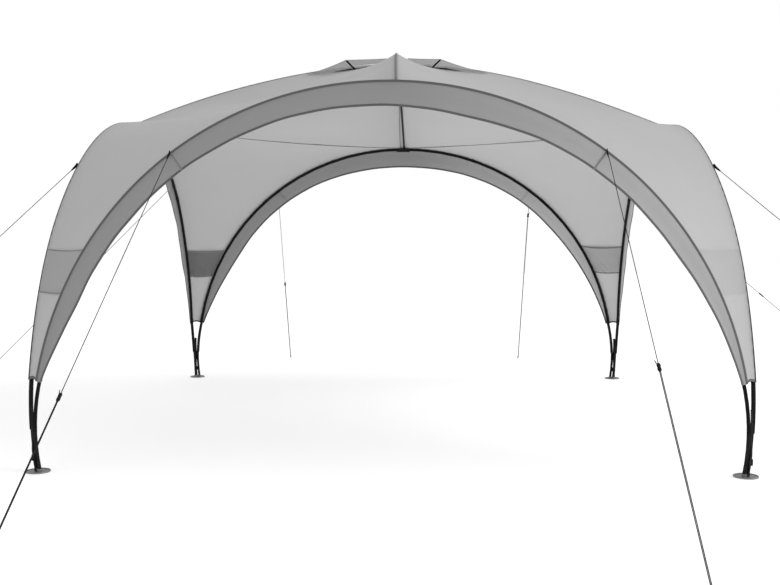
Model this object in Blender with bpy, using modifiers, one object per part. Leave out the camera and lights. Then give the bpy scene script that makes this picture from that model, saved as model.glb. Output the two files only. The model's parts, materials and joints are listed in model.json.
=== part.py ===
"""Party tent: a square open shelter of four pole arches under one domed cloth roof.

Metres, +Z up. The origin is on the ground under the crown, +X to the right, -Y is the front.
One side is modelled as the front one and then turned by quarters about Z for the others.
"""

import math

import bmesh
import bpy
from mathutils import Matrix, Vector

# Driving dimensions of the frame
ARCH_HALF_WIDTH = 1.805
ARCH_RISE = 1.812
ARCH_SPRING_HEIGHT = 0.17
ARCH_SQUARENESS = 2.03
ARCH_PLANE_LOW = 1.849
ARCH_LEAN = 0.0195
POLE_RADIUS = 0.010
LEG_TOP_HEIGHT = 0.50
LEG_BOW = (1.813, 1.840, 0.25)
LEG_FOOT = (1.800, 1.825)
LEG_STRAIGHT_END = 0.022
LEG_JOINT_GAP = 0.001
LEG_STEPS = 8
ROOF_POLE_RADIUS = 0.0075
ROOF_POLE_END_GAP = 0.0035
ROOF_POLE_END_DIP = 0.010
ROOF_POLE_CLEARANCE = 0.003
CROSSING_CLEARANCE = 0.001
CROSSING_WIDTH = 0.15

# Driving dimensions of the clips under the arches' tops
BRACKET_HALF_WIDTH = 0.056
BRACKET_FACE = 1.785
BRACKET_OUTER = 1.826
BRACKET_BOTTOM = 1.962
BRACKET_TOP = 1.988
BRACKET_PLAY = 0.0030
HORN_HALF_WIDTH = 0.010
HORN_OUTER = 1.800
HORN_TOP = 1.998

# Driving dimensions of the feet
PLATE_RADIUS = 0.0625
PLATE_THICKNESS = 0.004
COLLAR_HEIGHT = 0.018
COLLAR_WALL = 0.002
COLLAR_PLAY = 0.0006
PEG_HOLE_RADIUS = 0.005
PEG_HOLE_DISTANCE = 0.043

# Driving dimensions of the cloth
CLOTH_THICKNESS = 0.003
SEAM_OUT = 0.0155
SEAM_FORWARD = 0.008
HEM_HEIGHT = 0.475
ROOF_RISE = 0.400
RIDGE_POWER = 2.0
CROSS_POWER = 1.78
ROOF_HOLLOW = 0.25
CREST_HOLLOW = 0.100
CREST_REACH = 0.25
CREST_FADE = 0.35
RIDGE_SHIFT = 0.005
RIDGE_SHIFT_SLANT = -0.018
RIDGE_SHIFT_BEND = 0.022
RIDGE_REACH = 0.50
RIDGE_END = 1.2
SETTLE = 0.033
SETTLE_FROM = 0.4
SETTLE_HEIGHTS = (0.6, 1.9)
SIDES_IN = 0.016
SIDES_IN_FROM = 1.2
SIDES_IN_HEIGHTS = (1.0, 1.9)
HIP_HOLLOW = 0.014
HIP_HOLLOW_LOW = 0.020
VALANCE_DROPS = {"front": 0.118, "back": 0.124, "left": 0.115, "right": 0.115}
VALANCE_EXTRAS_AT_TOP = {"front": 0.012, "back": 0.038, "left": 0.020, "right": 0.020}
VALANCE_FLARES = {"front": 0.055, "back": 0.055, "left": 0.012, "right": 0.012}
VALANCE_LEAST = 0.26
VALANCE_BELLY = 0.021
VALANCE_BELLY_AT = math.radians(75)
VALANCE_BELLY_WIDTH = math.radians(14)
# At a side's -X end and its +X end
VALANCE_TAPER_ANGLES = {"front": (18, 32), "back": (36, 24), "left": (25, 25), "right": (25, 25)}
SEAM_GAP = 0.0012

# Driving dimensions of the vent hoods, on the back right quarter: (x, y) at an edge's two ends
# and at the middle, where the front edge is propped up
HOOD_FRONT_EDGE = ((0.610, 0.035), (0.311, 0.250), (0.085, 0.245))
HOOD_BACK_EDGE = ((0.560, 0.012), (0.050, 0.020), (0.025, 0.190))
HOOD_PEAK_SHIFT = -0.022
HOOD_LIFT = 0.069
HOOD_INNER_LIFT = 0.012
HOOD_CLEARANCE = 0.005

# Driving dimensions of the guy ropes and pegs
GUY_ALONG_ARCH = 1.095
GUY_START = 0.026
GUY_RAISE = 0.004
ROPE_RADIUS = 0.002
ROPE_SIDES = 8
ROPE_NECK = 0.004
ROPE_TO_PEG = 0.009
TAB_RADIUS = 0.006
TAB_LENGTH = 0.035
SLIDER_RADIUS = 0.010
SLIDER_LENGTH = 0.040
SLIDER_AT = 0.52
SLIDER_ELSEWHERE = {("front", "left"): 0.65, ("front", "right"): 0.58, ("back", "right"): 0.13}
PEG_RADIUS = 0.003
PEG_HOOK = ((0, 0.032), (0.003, 0.038), (0.010, 0.040), (0.018, 0.037), (0.021, 0.030))
ROPE_END_HEIGHT = 0.022
GROUND_POINTS = {
    ("front", "left"): (-1.336, -3.609),
    ("front", "right"): (1.137, -3.633),
    ("right", "front"): (3.537, -1.779),
    ("right", "back"): (3.615, 0.666),
    ("back", "right"): (1.123, 3.155),
    ("back", "left"): (-1.172, 3.173),
    ("left", "back"): (-3.357, 0.646),
    ("left", "front"): (-3.345, -1.799),
}

# Driving dimensions of the corner straps
STRAP_WIDTH = 0.020
STRAP_THICKNESS = 0.002
STRAP_AWAY = 0.015
STRAP_HEM_GAP = 0.004
BUCKLE_WIDTH = 0.026
BUCKLE_THICKNESS = 0.008
BUCKLE_BOTTOM = 0.060
BUCKLE_TOP = 0.095
BUCKLE_EDGE = 0.003
STRAP_STEPS = 6

TOUCH_GAP = 0.0004

# How finely the curved pieces are divided
PLATE_SIDES = 24
HOOP_STEPS = 32
ROOF_POLE_STEPS = 28
CROWN_COLUMNS = 8
CROWN_ROWS = 10
HIP_COLUMNS = 8
HIP_ROWS = 16
VALANCE_COLUMNS = 32
HOOD_COLUMNS = 8
HOOD_ROWS = 4

# Each side is the front one turned by this many quarters; its ends follow the -X and +X ends
SIDES = {
    "front": (0, ("left", "right")),
    "right": (1, ("front", "back")),
    "back": (2, ("right", "left")),
    "left": (3, ("back", "front")),
}
CORNERS = {"front_left": 0, "front_right": 1, "back_right": 2, "back_left": 3}


def clear_scene():
    for old in list(bpy.data.objects):
        bpy.data.objects.remove(old, do_unlink=True)


def new_collection(name, hidden=False):
    made = bpy.data.collections.new(name)
    bpy.context.scene.collection.children.link(made)
    made.hide_render = hidden
    return made


def new_material(name, colour, roughness, metallic=0.0):
    made = bpy.data.materials.new(name)
    made.use_nodes = True
    shader = made.node_tree.nodes["Principled BSDF"]
    shader.inputs["Base Color"].default_value = (*colour, 1.0)
    shader.inputs["Roughness"].default_value = roughness
    shader.inputs["Metallic"].default_value = metallic
    return made


def turned(point, quarters):
    """The point, turned by quarters of a turn about Z."""
    x, y, z = point
    for _ in range(quarters):
        x, y = -y, x
    return Vector((x, y, z))


def smooth_step(low, high, value):
    """From 0 at low to 1 at high, with no kink."""
    share = min(1.0, max(0.0, (value - low) / (high - low)))
    return share * share * (3 - 2 * share)


def place(name, data, material, collection):
    made = bpy.data.objects.new(name, data)
    data.materials.append(material)
    collection.objects.link(made)
    return made


# The arch: a slightly squared half circle on two legs

def arch_angle(height):
    """The angle along the arch at which its pole reaches a height."""
    share = (height - ARCH_SPRING_HEIGHT) / ARCH_RISE
    return math.asin(share ** (ARCH_SQUARENESS / 2))


def arch_plane(height):
    """How far from the centre the arch's plane is: it leans in towards its top."""
    return ARCH_PLANE_LOW - ARCH_LEAN * (height - LEG_TOP_HEIGHT)


def arch_section(angle, outward=0.0):
    """(x, z) on the pole's centre line for an angle from 0 at +X to pi at -X, pushed outward."""
    power = 2 / ARCH_SQUARENESS
    along = math.copysign(abs(math.cos(angle)) ** power, math.cos(angle))
    up = math.sin(angle) ** power
    return (
        (ARCH_HALF_WIDTH + outward) * along,
        ARCH_SPRING_HEIGHT + (ARCH_RISE + outward) * up,
    )


def arch_point(angle):
    """A point of the front pole's centre line."""
    x, z = arch_section(angle)
    return Vector((x, -arch_plane(z), z))


def seam_point(angle):
    """A point of the seam over the front pole, where roof and valance meet."""
    x, z = arch_section(angle, SEAM_OUT)
    return Vector((x, -arch_plane(z) - SEAM_FORWARD, z))


def angles(first, last, count):
    return [first + (last - first) * i / count for i in range(count + 1)]


LOW_ANGLE = arch_angle(LEG_TOP_HEIGHT)
HEM_ANGLE = arch_angle(HEM_HEIGHT)
APEX = seam_point(math.pi / 2)
ROOF_HALF = -APEX.y


def roof_height(x, y):
    """The cloth's height between the four apexes, hollow between the ridges over the poles."""
    u = abs(x) / ROOF_HALF
    v = abs(y) / ROOF_HALF
    power = RIDGE_POWER + (CROSS_POWER - RIDGE_POWER) * u / max(u + v, 1e-6)
    domed = ROOF_RISE * (1 - (u + v) ** power - ROOF_HOLLOW * u * v)
    off_ridges = (1 - math.exp(-abs(x) / CREST_REACH)) * (1 - math.exp(-abs(y) / CREST_REACH))
    return APEX.z + domed - CREST_HOLLOW * off_ridges * smooth_step(0, CREST_FADE, 1 - u - v)


def ridge_shift(y):
    """How far to the right the ridge pole stands, from front to back."""
    share = y / ROOF_HALF
    return RIDGE_SHIFT + RIDGE_SHIFT_SLANT * share + RIDGE_SHIFT_BEND * share**2


def over_ridge(point):
    """The point of the roof, carried to the right with the ridge pole, still on the arches."""
    x = point.x + ridge_shift(point.y) * (1 - smooth_step(0, RIDGE_REACH, abs(point.x)))
    fall = (x**2 - point.x**2) / (2 * ARCH_RISE)
    return Vector((x, point.y, point.z - fall * smooth_step(RIDGE_END, ROOF_HALF, abs(point.y))))


def settled(point):
    """The point, as the standing tent has it: the right side's top sinks, and both sides lean in."""
    x, y, z = point
    beside = smooth_step(SETTLE_FROM, ROOF_HALF, x) * max(0.0, 1 - (y / ROOF_HALF) ** 2)
    down = SETTLE * beside * smooth_step(*SETTLE_HEIGHTS, z)
    beside = smooth_step(SIDES_IN_FROM, ROOF_HALF, abs(x)) * max(0.0, 1 - (y / ROOF_HALF) ** 6)
    inward = SIDES_IN * beside * smooth_step(*SIDES_IN_HEIGHTS, z)
    return Vector((x - math.copysign(inward, x), y, z - down))


# Shapes

def tube(name, points, radius, material, collection):
    """A round bar along the points, with closed ends."""
    data = bpy.data.curves.new(name, "CURVE")
    data.dimensions = "3D"
    data.bevel_depth = radius
    data.bevel_resolution = 2
    data.use_fill_caps = True
    line = data.splines.new("POLY")
    line.points.add(len(points) - 1)
    for slot, point in zip(line.points, points):
        slot.co = (*settled(point), 1.0)
    return place(name, data, material, collection)


def bent_grid(name, columns, rows, position, material, collection, grow=-1):
    """A cloth: a flat grid whose points are put where position(u, v) says, then thickened.

    It faces up and out of the tent, and its thickness grows to the back (-1) or front (1).
    """
    shape = bmesh.new()
    bmesh.ops.create_grid(shape, x_segments=columns, y_segments=rows, size=0.5)
    for vert in shape.verts:
        vert.co = settled(position(vert.co.x + 0.5, vert.co.y + 0.5))
    bmesh.ops.remove_doubles(shape, verts=shape.verts, dist=1e-5)
    bmesh.ops.dissolve_degenerate(shape, edges=shape.edges, dist=1e-6)
    shape.normal_update()
    if sum(face.normal.z * face.calc_area() for face in shape.faces) < 0:
        bmesh.ops.reverse_faces(shape, faces=shape.faces)
    data = bpy.data.meshes.new(name)
    shape.to_mesh(data)
    shape.free()
    data.shade_smooth()
    made = place(name, data, material, collection)
    wall = made.modifiers.new("thickness", "SOLIDIFY")
    wall.thickness = CLOTH_THICKNESS
    wall.offset = grow
    wall.use_even_offset = True
    return made


def loft(name, sections, material, collection):
    """A solid through four-cornered sections, for a strap that widens at its buckle."""
    shape = bmesh.new()
    loops = [[shape.verts.new(corner) for corner in section] for section in sections]
    for lower, upper in zip(loops, loops[1:]):
        for i in range(4):
            j = (i + 1) % 4
            shape.faces.new((lower[i], lower[j], upper[j], upper[i]))
    shape.faces.new(loops[0])
    shape.faces.new(loops[-1])
    bmesh.ops.recalc_face_normals(shape, faces=shape.faces)
    data = bpy.data.meshes.new(name)
    shape.to_mesh(data)
    shape.free()
    return place(name, data, material, collection)


def cylinder(name, radius, bottom, top, centre, material, collection, sides=16):
    shape = bmesh.new()
    bmesh.ops.create_cone(
        shape,
        cap_ends=True,
        segments=sides,
        radius1=radius,
        radius2=radius,
        depth=top - bottom,
        matrix=Matrix.Translation((centre[0], centre[1], (top + bottom) / 2)),
    )
    data = bpy.data.meshes.new(name)
    shape.to_mesh(data)
    shape.free()
    return place(name, data, material, collection)


def box(name, low, high, quarters, material, collection):
    """A block between two corners, turned with its side of the tent."""
    shape = bmesh.new()
    bmesh.ops.create_cube(shape, size=1)
    low = Vector(low)
    high = Vector(high)
    for vert in shape.verts:
        share = vert.co + Vector((0.5, 0.5, 0.5))
        corner = turned([a + (b - a) * s for a, b, s in zip(low, high, share)], quarters)
        vert.co = settled(corner)
    data = bpy.data.meshes.new(name)
    shape.to_mesh(data)
    shape.free()
    return place(name, data, material, collection)


def combine(target, helper, operation):
    """Joins the helper to the target, or cuts it out."""
    helper.hide_render = True
    helper.display_type = "WIRE"
    step = target.modifiers.new(helper.name, "BOOLEAN")
    step.operation = operation
    step.object = helper


# The frame

def leg_point(height):
    """The +X front leg's centre line: a parabola by height through foot, bow and hoop end."""
    foot_x, foot_plane = LEG_FOOT
    bow_x, bow_plane, bow_height = LEG_BOW
    stations = [
        Vector((foot_x, -foot_plane, LEG_STRAIGHT_END)),
        Vector((bow_x, -bow_plane, bow_height)),
        arch_point(LOW_ANGLE),
    ]
    point = Vector()
    for this in stations:
        others = [other for other in stations if other is not this]
        point += this * math.prod((height - o.z) / (this.z - o.z) for o in others)
    return point


def leg_path(side_sign):
    """Points of a front leg, from its plate up to its hoop."""
    foot = leg_point(LEG_STRAIGHT_END)
    points = [Vector((foot.x, foot.y, PLATE_THICKNESS + TOUCH_GAP))]
    reach = LEG_TOP_HEIGHT - LEG_JOINT_GAP - LEG_STRAIGHT_END
    for i in range(LEG_STEPS + 1):
        points.append(leg_point(LEG_STRAIGHT_END + reach * i / LEG_STEPS))
    return [Vector((side_sign * p.x, p.y, p.z)) for p in points]


def make_arch(side, material, collection):
    quarters, ends = SIDES[side]
    hoop = [arch_point(a) for a in angles(LOW_ANGLE, math.pi - LOW_ANGLE, HOOP_STEPS)]
    tube(
        f"{side}_arch_hoop",
        [turned(p, quarters) for p in hoop],
        POLE_RADIUS,
        material,
        collection,
    )
    for end, sign in zip(ends, (-1, 1)):
        tube(
            f"{side}_arch_{end}_leg",
            [turned(p, quarters) for p in leg_path(sign)],
            POLE_RADIUS,
            material,
            collection,
        )


def make_apex_bracket(side, material, collection, cutters):
    """The clip under a hoop's apex that the roof pole's end stands against."""
    quarters = SIDES[side][0]
    aside = {"front": ridge_shift(-ROOF_HALF), "back": -ridge_shift(ROOF_HALF)}.get(side, 0)
    bracket = box(
        f"{side}_apex_bracket",
        (-BRACKET_HALF_WIDTH, -BRACKET_OUTER, BRACKET_BOTTOM),
        (BRACKET_HALF_WIDTH, -BRACKET_FACE, BRACKET_TOP),
        quarters,
        material,
        collection,
    )
    horn = box(
        f"{side}_clip_horn",
        (aside - HORN_HALF_WIDTH, -HORN_OUTER, BRACKET_BOTTOM),
        (aside + HORN_HALF_WIDTH, -BRACKET_FACE, HORN_TOP),
        quarters,
        material,
        cutters,
    )
    combine(bracket, horn, "UNION")

    # The pole's own room in the clip
    shape = bmesh.new()
    bmesh.ops.create_cone(
        shape,
        cap_ends=True,
        segments=16,
        radius1=POLE_RADIUS + BRACKET_PLAY,
        radius2=POLE_RADIUS + BRACKET_PLAY,
        depth=2 * BRACKET_HALF_WIDTH + 0.02,
        matrix=Matrix.Rotation(math.pi / 2, 4, "Y"),
    )
    middle = arch_point(math.pi / 2)
    for vert in shape.verts:
        vert.co = settled(turned(vert.co + middle, quarters))
    data = bpy.data.meshes.new(f"{side}_clip_room")
    shape.to_mesh(data)
    shape.free()
    room = place(f"{side}_clip_room", data, material, cutters)
    combine(bracket, room, "DIFFERENCE")


def make_roof_poles(material, collection):
    """Two thin poles that cross under the crown, each from apex to apex."""
    reach = BRACKET_FACE - ROOF_POLE_END_GAP
    below = CLOTH_THICKNESS + ROOF_POLE_RADIUS + ROOF_POLE_CLEARANCE
    crossing_dip = 2 * ROOF_POLE_RADIUS + CROSSING_CLEARANCE
    ridge = []
    cross = []
    for i in range(ROOF_POLE_STEPS + 1):
        s = -reach + 2 * reach * i / ROOF_POLE_STEPS
        under = below + ROOF_POLE_END_DIP * (s / reach) ** 12
        dip = crossing_dip * math.exp(-((s / CROSSING_WIDTH) ** 2))
        ridge.append(over_ridge(Vector((0, s, roof_height(0, s) - under))))
        cross.append(over_ridge(Vector((s, 0, roof_height(s, 0) - under - dip))))
    tube("ridge_pole", ridge, ROOF_POLE_RADIUS, material, collection)
    tube("cross_pole", cross, ROOF_POLE_RADIUS, material, collection)


def make_foot(corner, material, collection, cutters):
    """A round plate with two collars that the legs stand in, and two peg holes."""
    quarters = CORNERS[corner]
    foot_x, foot_plane = LEG_FOOT
    middle = -(foot_x + foot_plane) / 2
    centre = turned((middle, middle, 0), quarters)
    foot = cylinder(
        f"foot_plate_{corner}",
        PLATE_RADIUS,
        0,
        PLATE_THICKNESS,
        centre,
        material,
        collection,
        sides=PLATE_SIDES,
    )
    legs = [
        turned((-foot_x, -foot_plane, 0), quarters),
        turned((-foot_plane, -foot_x, 0), quarters),
    ]
    bore = POLE_RADIUS + COLLAR_PLAY
    for number, leg in enumerate(legs):
        collar = cylinder(
            f"collar_{corner}_{number}",
            bore + COLLAR_WALL,
            PLATE_THICKNESS / 2,
            COLLAR_HEIGHT,
            leg,
            material,
            cutters,
        )
        combine(foot, collar, "UNION")
    for number, leg in enumerate(legs):
        room = cylinder(
            f"bore_{corner}_{number}",
            bore,
            PLATE_THICKNESS,
            2 * COLLAR_HEIGHT,
            leg,
            material,
            cutters,
        )
        combine(foot, room, "DIFFERENCE")
    step = PEG_HOLE_DISTANCE / math.sqrt(2)
    for number, sign in enumerate((-1, 1)):
        spot = centre + turned((sign * step, sign * step, 0), quarters)
        hole = cylinder(
            f"hole_{corner}_{number}",
            PEG_HOLE_RADIUS,
            -PLATE_THICKNESS,
            2 * PLATE_THICKNESS,
            spot,
            material,
            cutters,
            sides=12,
        )
        combine(foot, hole, "DIFFERENCE")


# The cloth

def make_crown(material, collection):
    """The roof's middle panel, a diamond between the four apexes."""
    reach = ROOF_HALF - SEAM_GAP

    def position(u, v):
        # u goes round the diamond, v from its middle to its edge
        side, share = divmod(u * 4, 1)
        if u >= 1:
            side, share = 3, 1
        out = turned((-share * v * reach, -(1 - share) * v * reach, 0), (4 - int(side)) % 4)
        return over_ridge(Vector((out.x, out.y, roof_height(out.x, out.y))))

    bent_grid("roof_crown", 4 * CROWN_COLUMNS, CROWN_ROWS, position, material, collection)


def make_hip(corner, material, collection):
    """A roof corner, from the hem over the foot up to the crown's edge."""
    quarters = CORNERS[corner]

    def position(u, v):
        angle = HEM_ANGLE + (math.pi / 2 - HEM_ANGLE) * v
        front = seam_point(math.pi - angle)
        other = Vector((front.y, front.x, front.z))
        chord = other - front
        inset = SEAM_GAP / max(chord.length, 1e-6)
        share = inset + (1 - 2 * inset) * u
        out = Vector((-math.cos(angle), -math.cos(angle), math.sqrt(2) * math.sin(angle)))
        hollow = chord.length * (HIP_HOLLOW + HIP_HOLLOW_LOW * math.cos(angle))
        point = front + chord * share - out.normalized() * hollow * 4 * share * (1 - share)
        if chord.length < SEAM_GAP:
            point += Vector((-SEAM_GAP, -SEAM_GAP, 0))
        return over_ridge(turned(point, quarters))

    bent_grid(f"roof_corner_{corner}", HIP_COLUMNS, HIP_ROWS, position, material, collection)


def valance_size(side, angle):
    """How far the valance reaches in towards the arch's middle, and how far it flares forward."""
    from_hem = min(angle, math.pi - angle) - HEM_ANGLE
    taper_angle = math.radians(VALANCE_TAPER_ANGLES[side][angle < math.pi / 2])
    share = min(1.0, from_hem / taper_angle)
    taper = VALANCE_LEAST + (1 - VALANCE_LEAST) * math.sin(math.pi / 2 * share)
    drop = VALANCE_DROPS[side] * taper + VALANCE_EXTRAS_AT_TOP[side] * math.sin(angle) ** 8
    if side == "front":
        drop += VALANCE_BELLY * math.exp(-(((angle - VALANCE_BELLY_AT) / VALANCE_BELLY_WIDTH) ** 2))
    return drop, VALANCE_FLARES[side] * taper


def make_valance(side, material, collection):
    """The strip of cloth that hangs from an arch's seam and flares forward."""
    quarters = SIDES[side][0]

    def position(u, v):
        angle = HEM_ANGLE + (math.pi - 2 * HEM_ANGLE) * u
        drop, flare = valance_size(side, angle)
        seam = seam_point(angle)
        inward = Vector((-math.cos(angle), 0, -math.sin(angle)))
        ahead = Vector((0, -1, 0))
        start = SEAM_GAP * ahead
        return turned(seam + start + (inward * drop + ahead * flare) * v, quarters)

    bent_grid(f"{side}_valance", VALANCE_COLUMNS, 2, position, material, collection, grow=1)


def make_hood(name, sign_x, sign_y, material, collection):
    """A flap over a roof vent, propped up at the middle of its front edge."""

    def along(edge, u):
        outer, middle, inner = (Vector(end) for end in edge)
        return outer.lerp(middle, 2 * u) if u < 0.5 else middle.lerp(inner, 2 * u - 1)

    def position(u, v):
        front = along(HOOD_FRONT_EDGE, u)
        back = along(HOOD_BACK_EDGE, u)
        x, y = front.lerp(back, v)
        peak = 1 - abs(2 * u - 1)
        top = roof_height(*front) + HOOD_LIFT * peak
        if u > 0.5:
            top += HOOD_INNER_LIFT * (1 - peak)
        drawn = top + (roof_height(*back) - top) * v
        z = max(drawn, roof_height(x, y)) + CLOTH_THICKNESS + HOOD_CLEARANCE
        return over_ridge(Vector((sign_x * x + HOOD_PEAK_SHIFT * peak, sign_y * y, z)))

    bent_grid(name, HOOD_COLUMNS, HOOD_ROWS, position, material, collection)


# Straps, guy ropes and pegs

def make_corner_strap(corner, material, collection):
    """Webbing with a buckle, from the roof's corner down to the foot, outside the two legs."""
    quarters = CORNERS[corner]
    bottom = PLATE_THICKNESS + TOUCH_GAP
    top = HEM_HEIGHT - STRAP_HEM_GAP

    def section(z, width, thickness):
        leg = leg_point(max(z, LEG_STRAIGHT_END))
        away = (leg.x - leg.y) / 2 + STRAP_AWAY / math.sqrt(2)
        out = thickness / 2 / math.sqrt(2)
        across = width / 2 / math.sqrt(2)
        around = ((-out, -across), (-out, across), (out, across), (out, -across))
        return [turned((-away + o + a, -away + o - a, z), quarters) for o, a in around]

    sections = [
        section(bottom, STRAP_WIDTH, STRAP_THICKNESS),
        section(BUCKLE_BOTTOM - BUCKLE_EDGE, STRAP_WIDTH, STRAP_THICKNESS),
        section(BUCKLE_BOTTOM, BUCKLE_WIDTH, BUCKLE_THICKNESS),
        section(BUCKLE_TOP, BUCKLE_WIDTH, BUCKLE_THICKNESS),
        section(BUCKLE_TOP + BUCKLE_EDGE, STRAP_WIDTH, STRAP_THICKNESS),
    ]
    above = BUCKLE_TOP + BUCKLE_EDGE
    for i in range(1, STRAP_STEPS + 1):
        z = above + (top - above) * i / STRAP_STEPS
        sections.append(section(z, STRAP_WIDTH, STRAP_THICKNESS))
    loft(f"corner_strap_{corner}", sections, material, collection)


def make_guy(side, end, sign, material, peg_material, collection):
    """A taut rope with its tab and slider in one turned solid, and the peg that holds it."""
    quarters = SIDES[side][0]
    angle = math.acos((GUY_ALONG_ARCH / (ARCH_HALF_WIDTH + SEAM_OUT)) ** (ARCH_SQUARENESS / 2))
    seam = seam_point(angle if sign > 0 else math.pi - angle)
    start = settled(turned(seam, quarters)) + Vector((0, 0, GUY_RAISE))
    ground = Vector((*GROUND_POINTS[side, end], 0))
    back = (start - ground).normalized()
    flat_back = Vector((back.x, back.y, 0)).normalized()
    finish = ground + Vector((0, 0, ROPE_END_HEIGHT)) + flat_back * ROPE_TO_PEG
    line = finish - start
    along = line.normalized()
    length = line.length
    slider = length * SLIDER_ELSEWHERE.get((side, end), SLIDER_AT)
    profile = [
        (GUY_START, TAB_RADIUS),
        (GUY_START + TAB_LENGTH, TAB_RADIUS),
        (GUY_START + TAB_LENGTH + ROPE_NECK, ROPE_RADIUS),
        (slider - ROPE_NECK, ROPE_RADIUS),
        (slider, SLIDER_RADIUS),
        (slider + SLIDER_LENGTH, SLIDER_RADIUS),
        (slider + SLIDER_LENGTH + ROPE_NECK, ROPE_RADIUS),
        (length, ROPE_RADIUS),
    ]
    shape = bmesh.new()
    facing = along.to_track_quat("Z", "Y").to_matrix()
    rings = []
    for distance, radius in profile:
        ring = []
        for i in range(ROPE_SIDES):
            turn = 2 * math.pi * i / ROPE_SIDES
            spoke = facing @ Vector((math.cos(turn), math.sin(turn), 0))
            ring.append(shape.verts.new(start + along * distance + spoke * radius))
        rings.append(ring)
    edges = []
    for ring in rings:
        for i in range(ROPE_SIDES):
            edges.append(shape.edges.new((ring[i], ring[(i + 1) % ROPE_SIDES])))
    for i in range(len(rings) - 1):
        pair = edges[i * ROPE_SIDES : (i + 2) * ROPE_SIDES]
        bmesh.ops.bridge_loops(shape, edges=pair)
    shape.faces.new(rings[0])
    shape.faces.new(rings[-1])
    bmesh.ops.recalc_face_normals(shape, faces=shape.faces)
    data = bpy.data.meshes.new(f"guy_rope_{side}_{end}")
    shape.to_mesh(data)
    shape.free()
    place(f"guy_rope_{side}_{end}", data, material, collection)

    # The peg's hook leans back over the rope's end
    hook = [ground]
    for out, height in PEG_HOOK:
        hook.append(ground + Vector((0, 0, height)) - flat_back * out)
    tube(f"peg_{side}_{end}", hook, PEG_RADIUS, peg_material, collection)


def make_all():
    clear_scene()
    tent = new_collection("party_tent")
    cutters = new_collection("cutters", hidden=True)
    pole_steel = new_material("pole_steel", (0.03, 0.03, 0.032), 0.45, 0.6)
    roof_pole_glassfibre = new_material("roof_pole_glassfibre", (0.02, 0.02, 0.02), 0.5)
    plate_steel = new_material("plate_steel", (0.35, 0.35, 0.36), 0.4, 0.9)
    black_plastic = new_material("black_plastic", (0.02, 0.02, 0.02), 0.5)
    roof_cloth = new_material("roof_cloth", (0.42, 0.42, 0.43), 0.75)
    valance_cloth = new_material("valance_cloth", (0.30, 0.30, 0.31), 0.75)
    black_webbing = new_material("black_webbing", (0.02, 0.02, 0.02), 0.8)
    guy_cord = new_material("guy_cord", (0.05, 0.05, 0.05), 0.7)
    peg_steel = new_material("peg_steel", (0.5, 0.5, 0.5), 0.35, 1.0)

    for corner in CORNERS:
        make_foot(corner, plate_steel, tent, cutters)
    for side in SIDES:
        make_arch(side, pole_steel, tent)
        make_apex_bracket(side, black_plastic, tent, cutters)
    make_roof_poles(roof_pole_glassfibre, tent)
    make_crown(roof_cloth, tent)
    for corner in CORNERS:
        make_hip(corner, roof_cloth, tent)
    for side in SIDES:
        make_valance(side, valance_cloth, tent)
    for front_back, sign_y in (("front", -1), ("back", 1)):
        for left_right, sign_x in (("left", -1), ("right", 1)):
            make_hood(f"vent_hood_{front_back}_{left_right}", sign_x, sign_y, roof_cloth, tent)
    for corner in CORNERS:
        make_corner_strap(corner, black_webbing, tent)
    for side, (_, ends) in SIDES.items():
        for end, sign in zip(ends, (-1, 1)):
            make_guy(side, end, sign, guy_cord, peg_steel, tent)


make_all()
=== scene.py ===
# %% [markdown]
# # Party tent
# An open shelter: four pole arches stand in a square, two thin poles cross over the middle,
# and one domed cloth is drawn over them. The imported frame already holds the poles, feet,
# ropes and pegs at their real size. This lesson loads it, dresses the cloth, sews the seams
# and gives every surface its finish.

# %% Load the frame
import json
import math

import bmesh
import bpy
from mathutils import Matrix, Vector, noise


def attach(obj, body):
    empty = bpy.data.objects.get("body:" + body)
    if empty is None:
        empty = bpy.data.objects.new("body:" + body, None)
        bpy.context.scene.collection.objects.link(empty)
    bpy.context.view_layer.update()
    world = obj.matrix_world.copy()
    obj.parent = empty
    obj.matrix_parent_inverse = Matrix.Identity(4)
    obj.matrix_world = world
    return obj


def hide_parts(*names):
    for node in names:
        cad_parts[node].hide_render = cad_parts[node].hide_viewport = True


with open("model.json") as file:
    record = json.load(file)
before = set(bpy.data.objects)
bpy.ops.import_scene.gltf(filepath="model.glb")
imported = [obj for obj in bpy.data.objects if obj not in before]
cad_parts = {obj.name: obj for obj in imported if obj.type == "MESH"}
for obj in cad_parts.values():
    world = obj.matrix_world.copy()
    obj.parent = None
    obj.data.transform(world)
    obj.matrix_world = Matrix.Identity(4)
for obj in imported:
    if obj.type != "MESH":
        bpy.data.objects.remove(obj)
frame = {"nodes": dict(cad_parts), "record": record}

scene = bpy.context.scene
nodes = frame["nodes"]
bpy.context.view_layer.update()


def show(name, data):
    """A new object in the scene."""
    made = bpy.data.objects.new(name, data)
    scene.collection.objects.link(made)
    return made


def fill(node, **values):
    """Sets inputs of a node: Base_Color stands for its input Base Color."""
    for label, value in values.items():
        node.inputs[label.replace("_", " ")].default_value = value


print("nodes in the frame:", len(nodes))

# %% [markdown]
# ## The camera
# The picture was taken from just under the roof's edge, almost square to the front arch. The
# four foot plates stand on a square, so their places in the picture fix where the camera was,
# how far it turned and how long its lens is. A camera matrix is three directions side by side:
# right, up and back.

# %% Place the camera
IMAGE_WIDTH = 780
SENSOR_WIDTH = 36
LENS_IN_PIXELS = 997.4
CAMERA_AT = Vector((0.192, -6.861, 1.190))
YAW, PITCH, ROLL = (math.radians(a) for a in (-2.03, -2.93, -0.05))

right = Vector((math.cos(YAW), -math.sin(YAW), 0))
ahead = Vector(
    (math.sin(YAW) * math.cos(PITCH), math.cos(YAW) * math.cos(PITCH), math.sin(PITCH))
)
up = right.cross(ahead)
rolled_right = right * math.cos(ROLL) + up * math.sin(ROLL)
rolled_up = up * math.cos(ROLL) - right * math.sin(ROLL)

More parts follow.
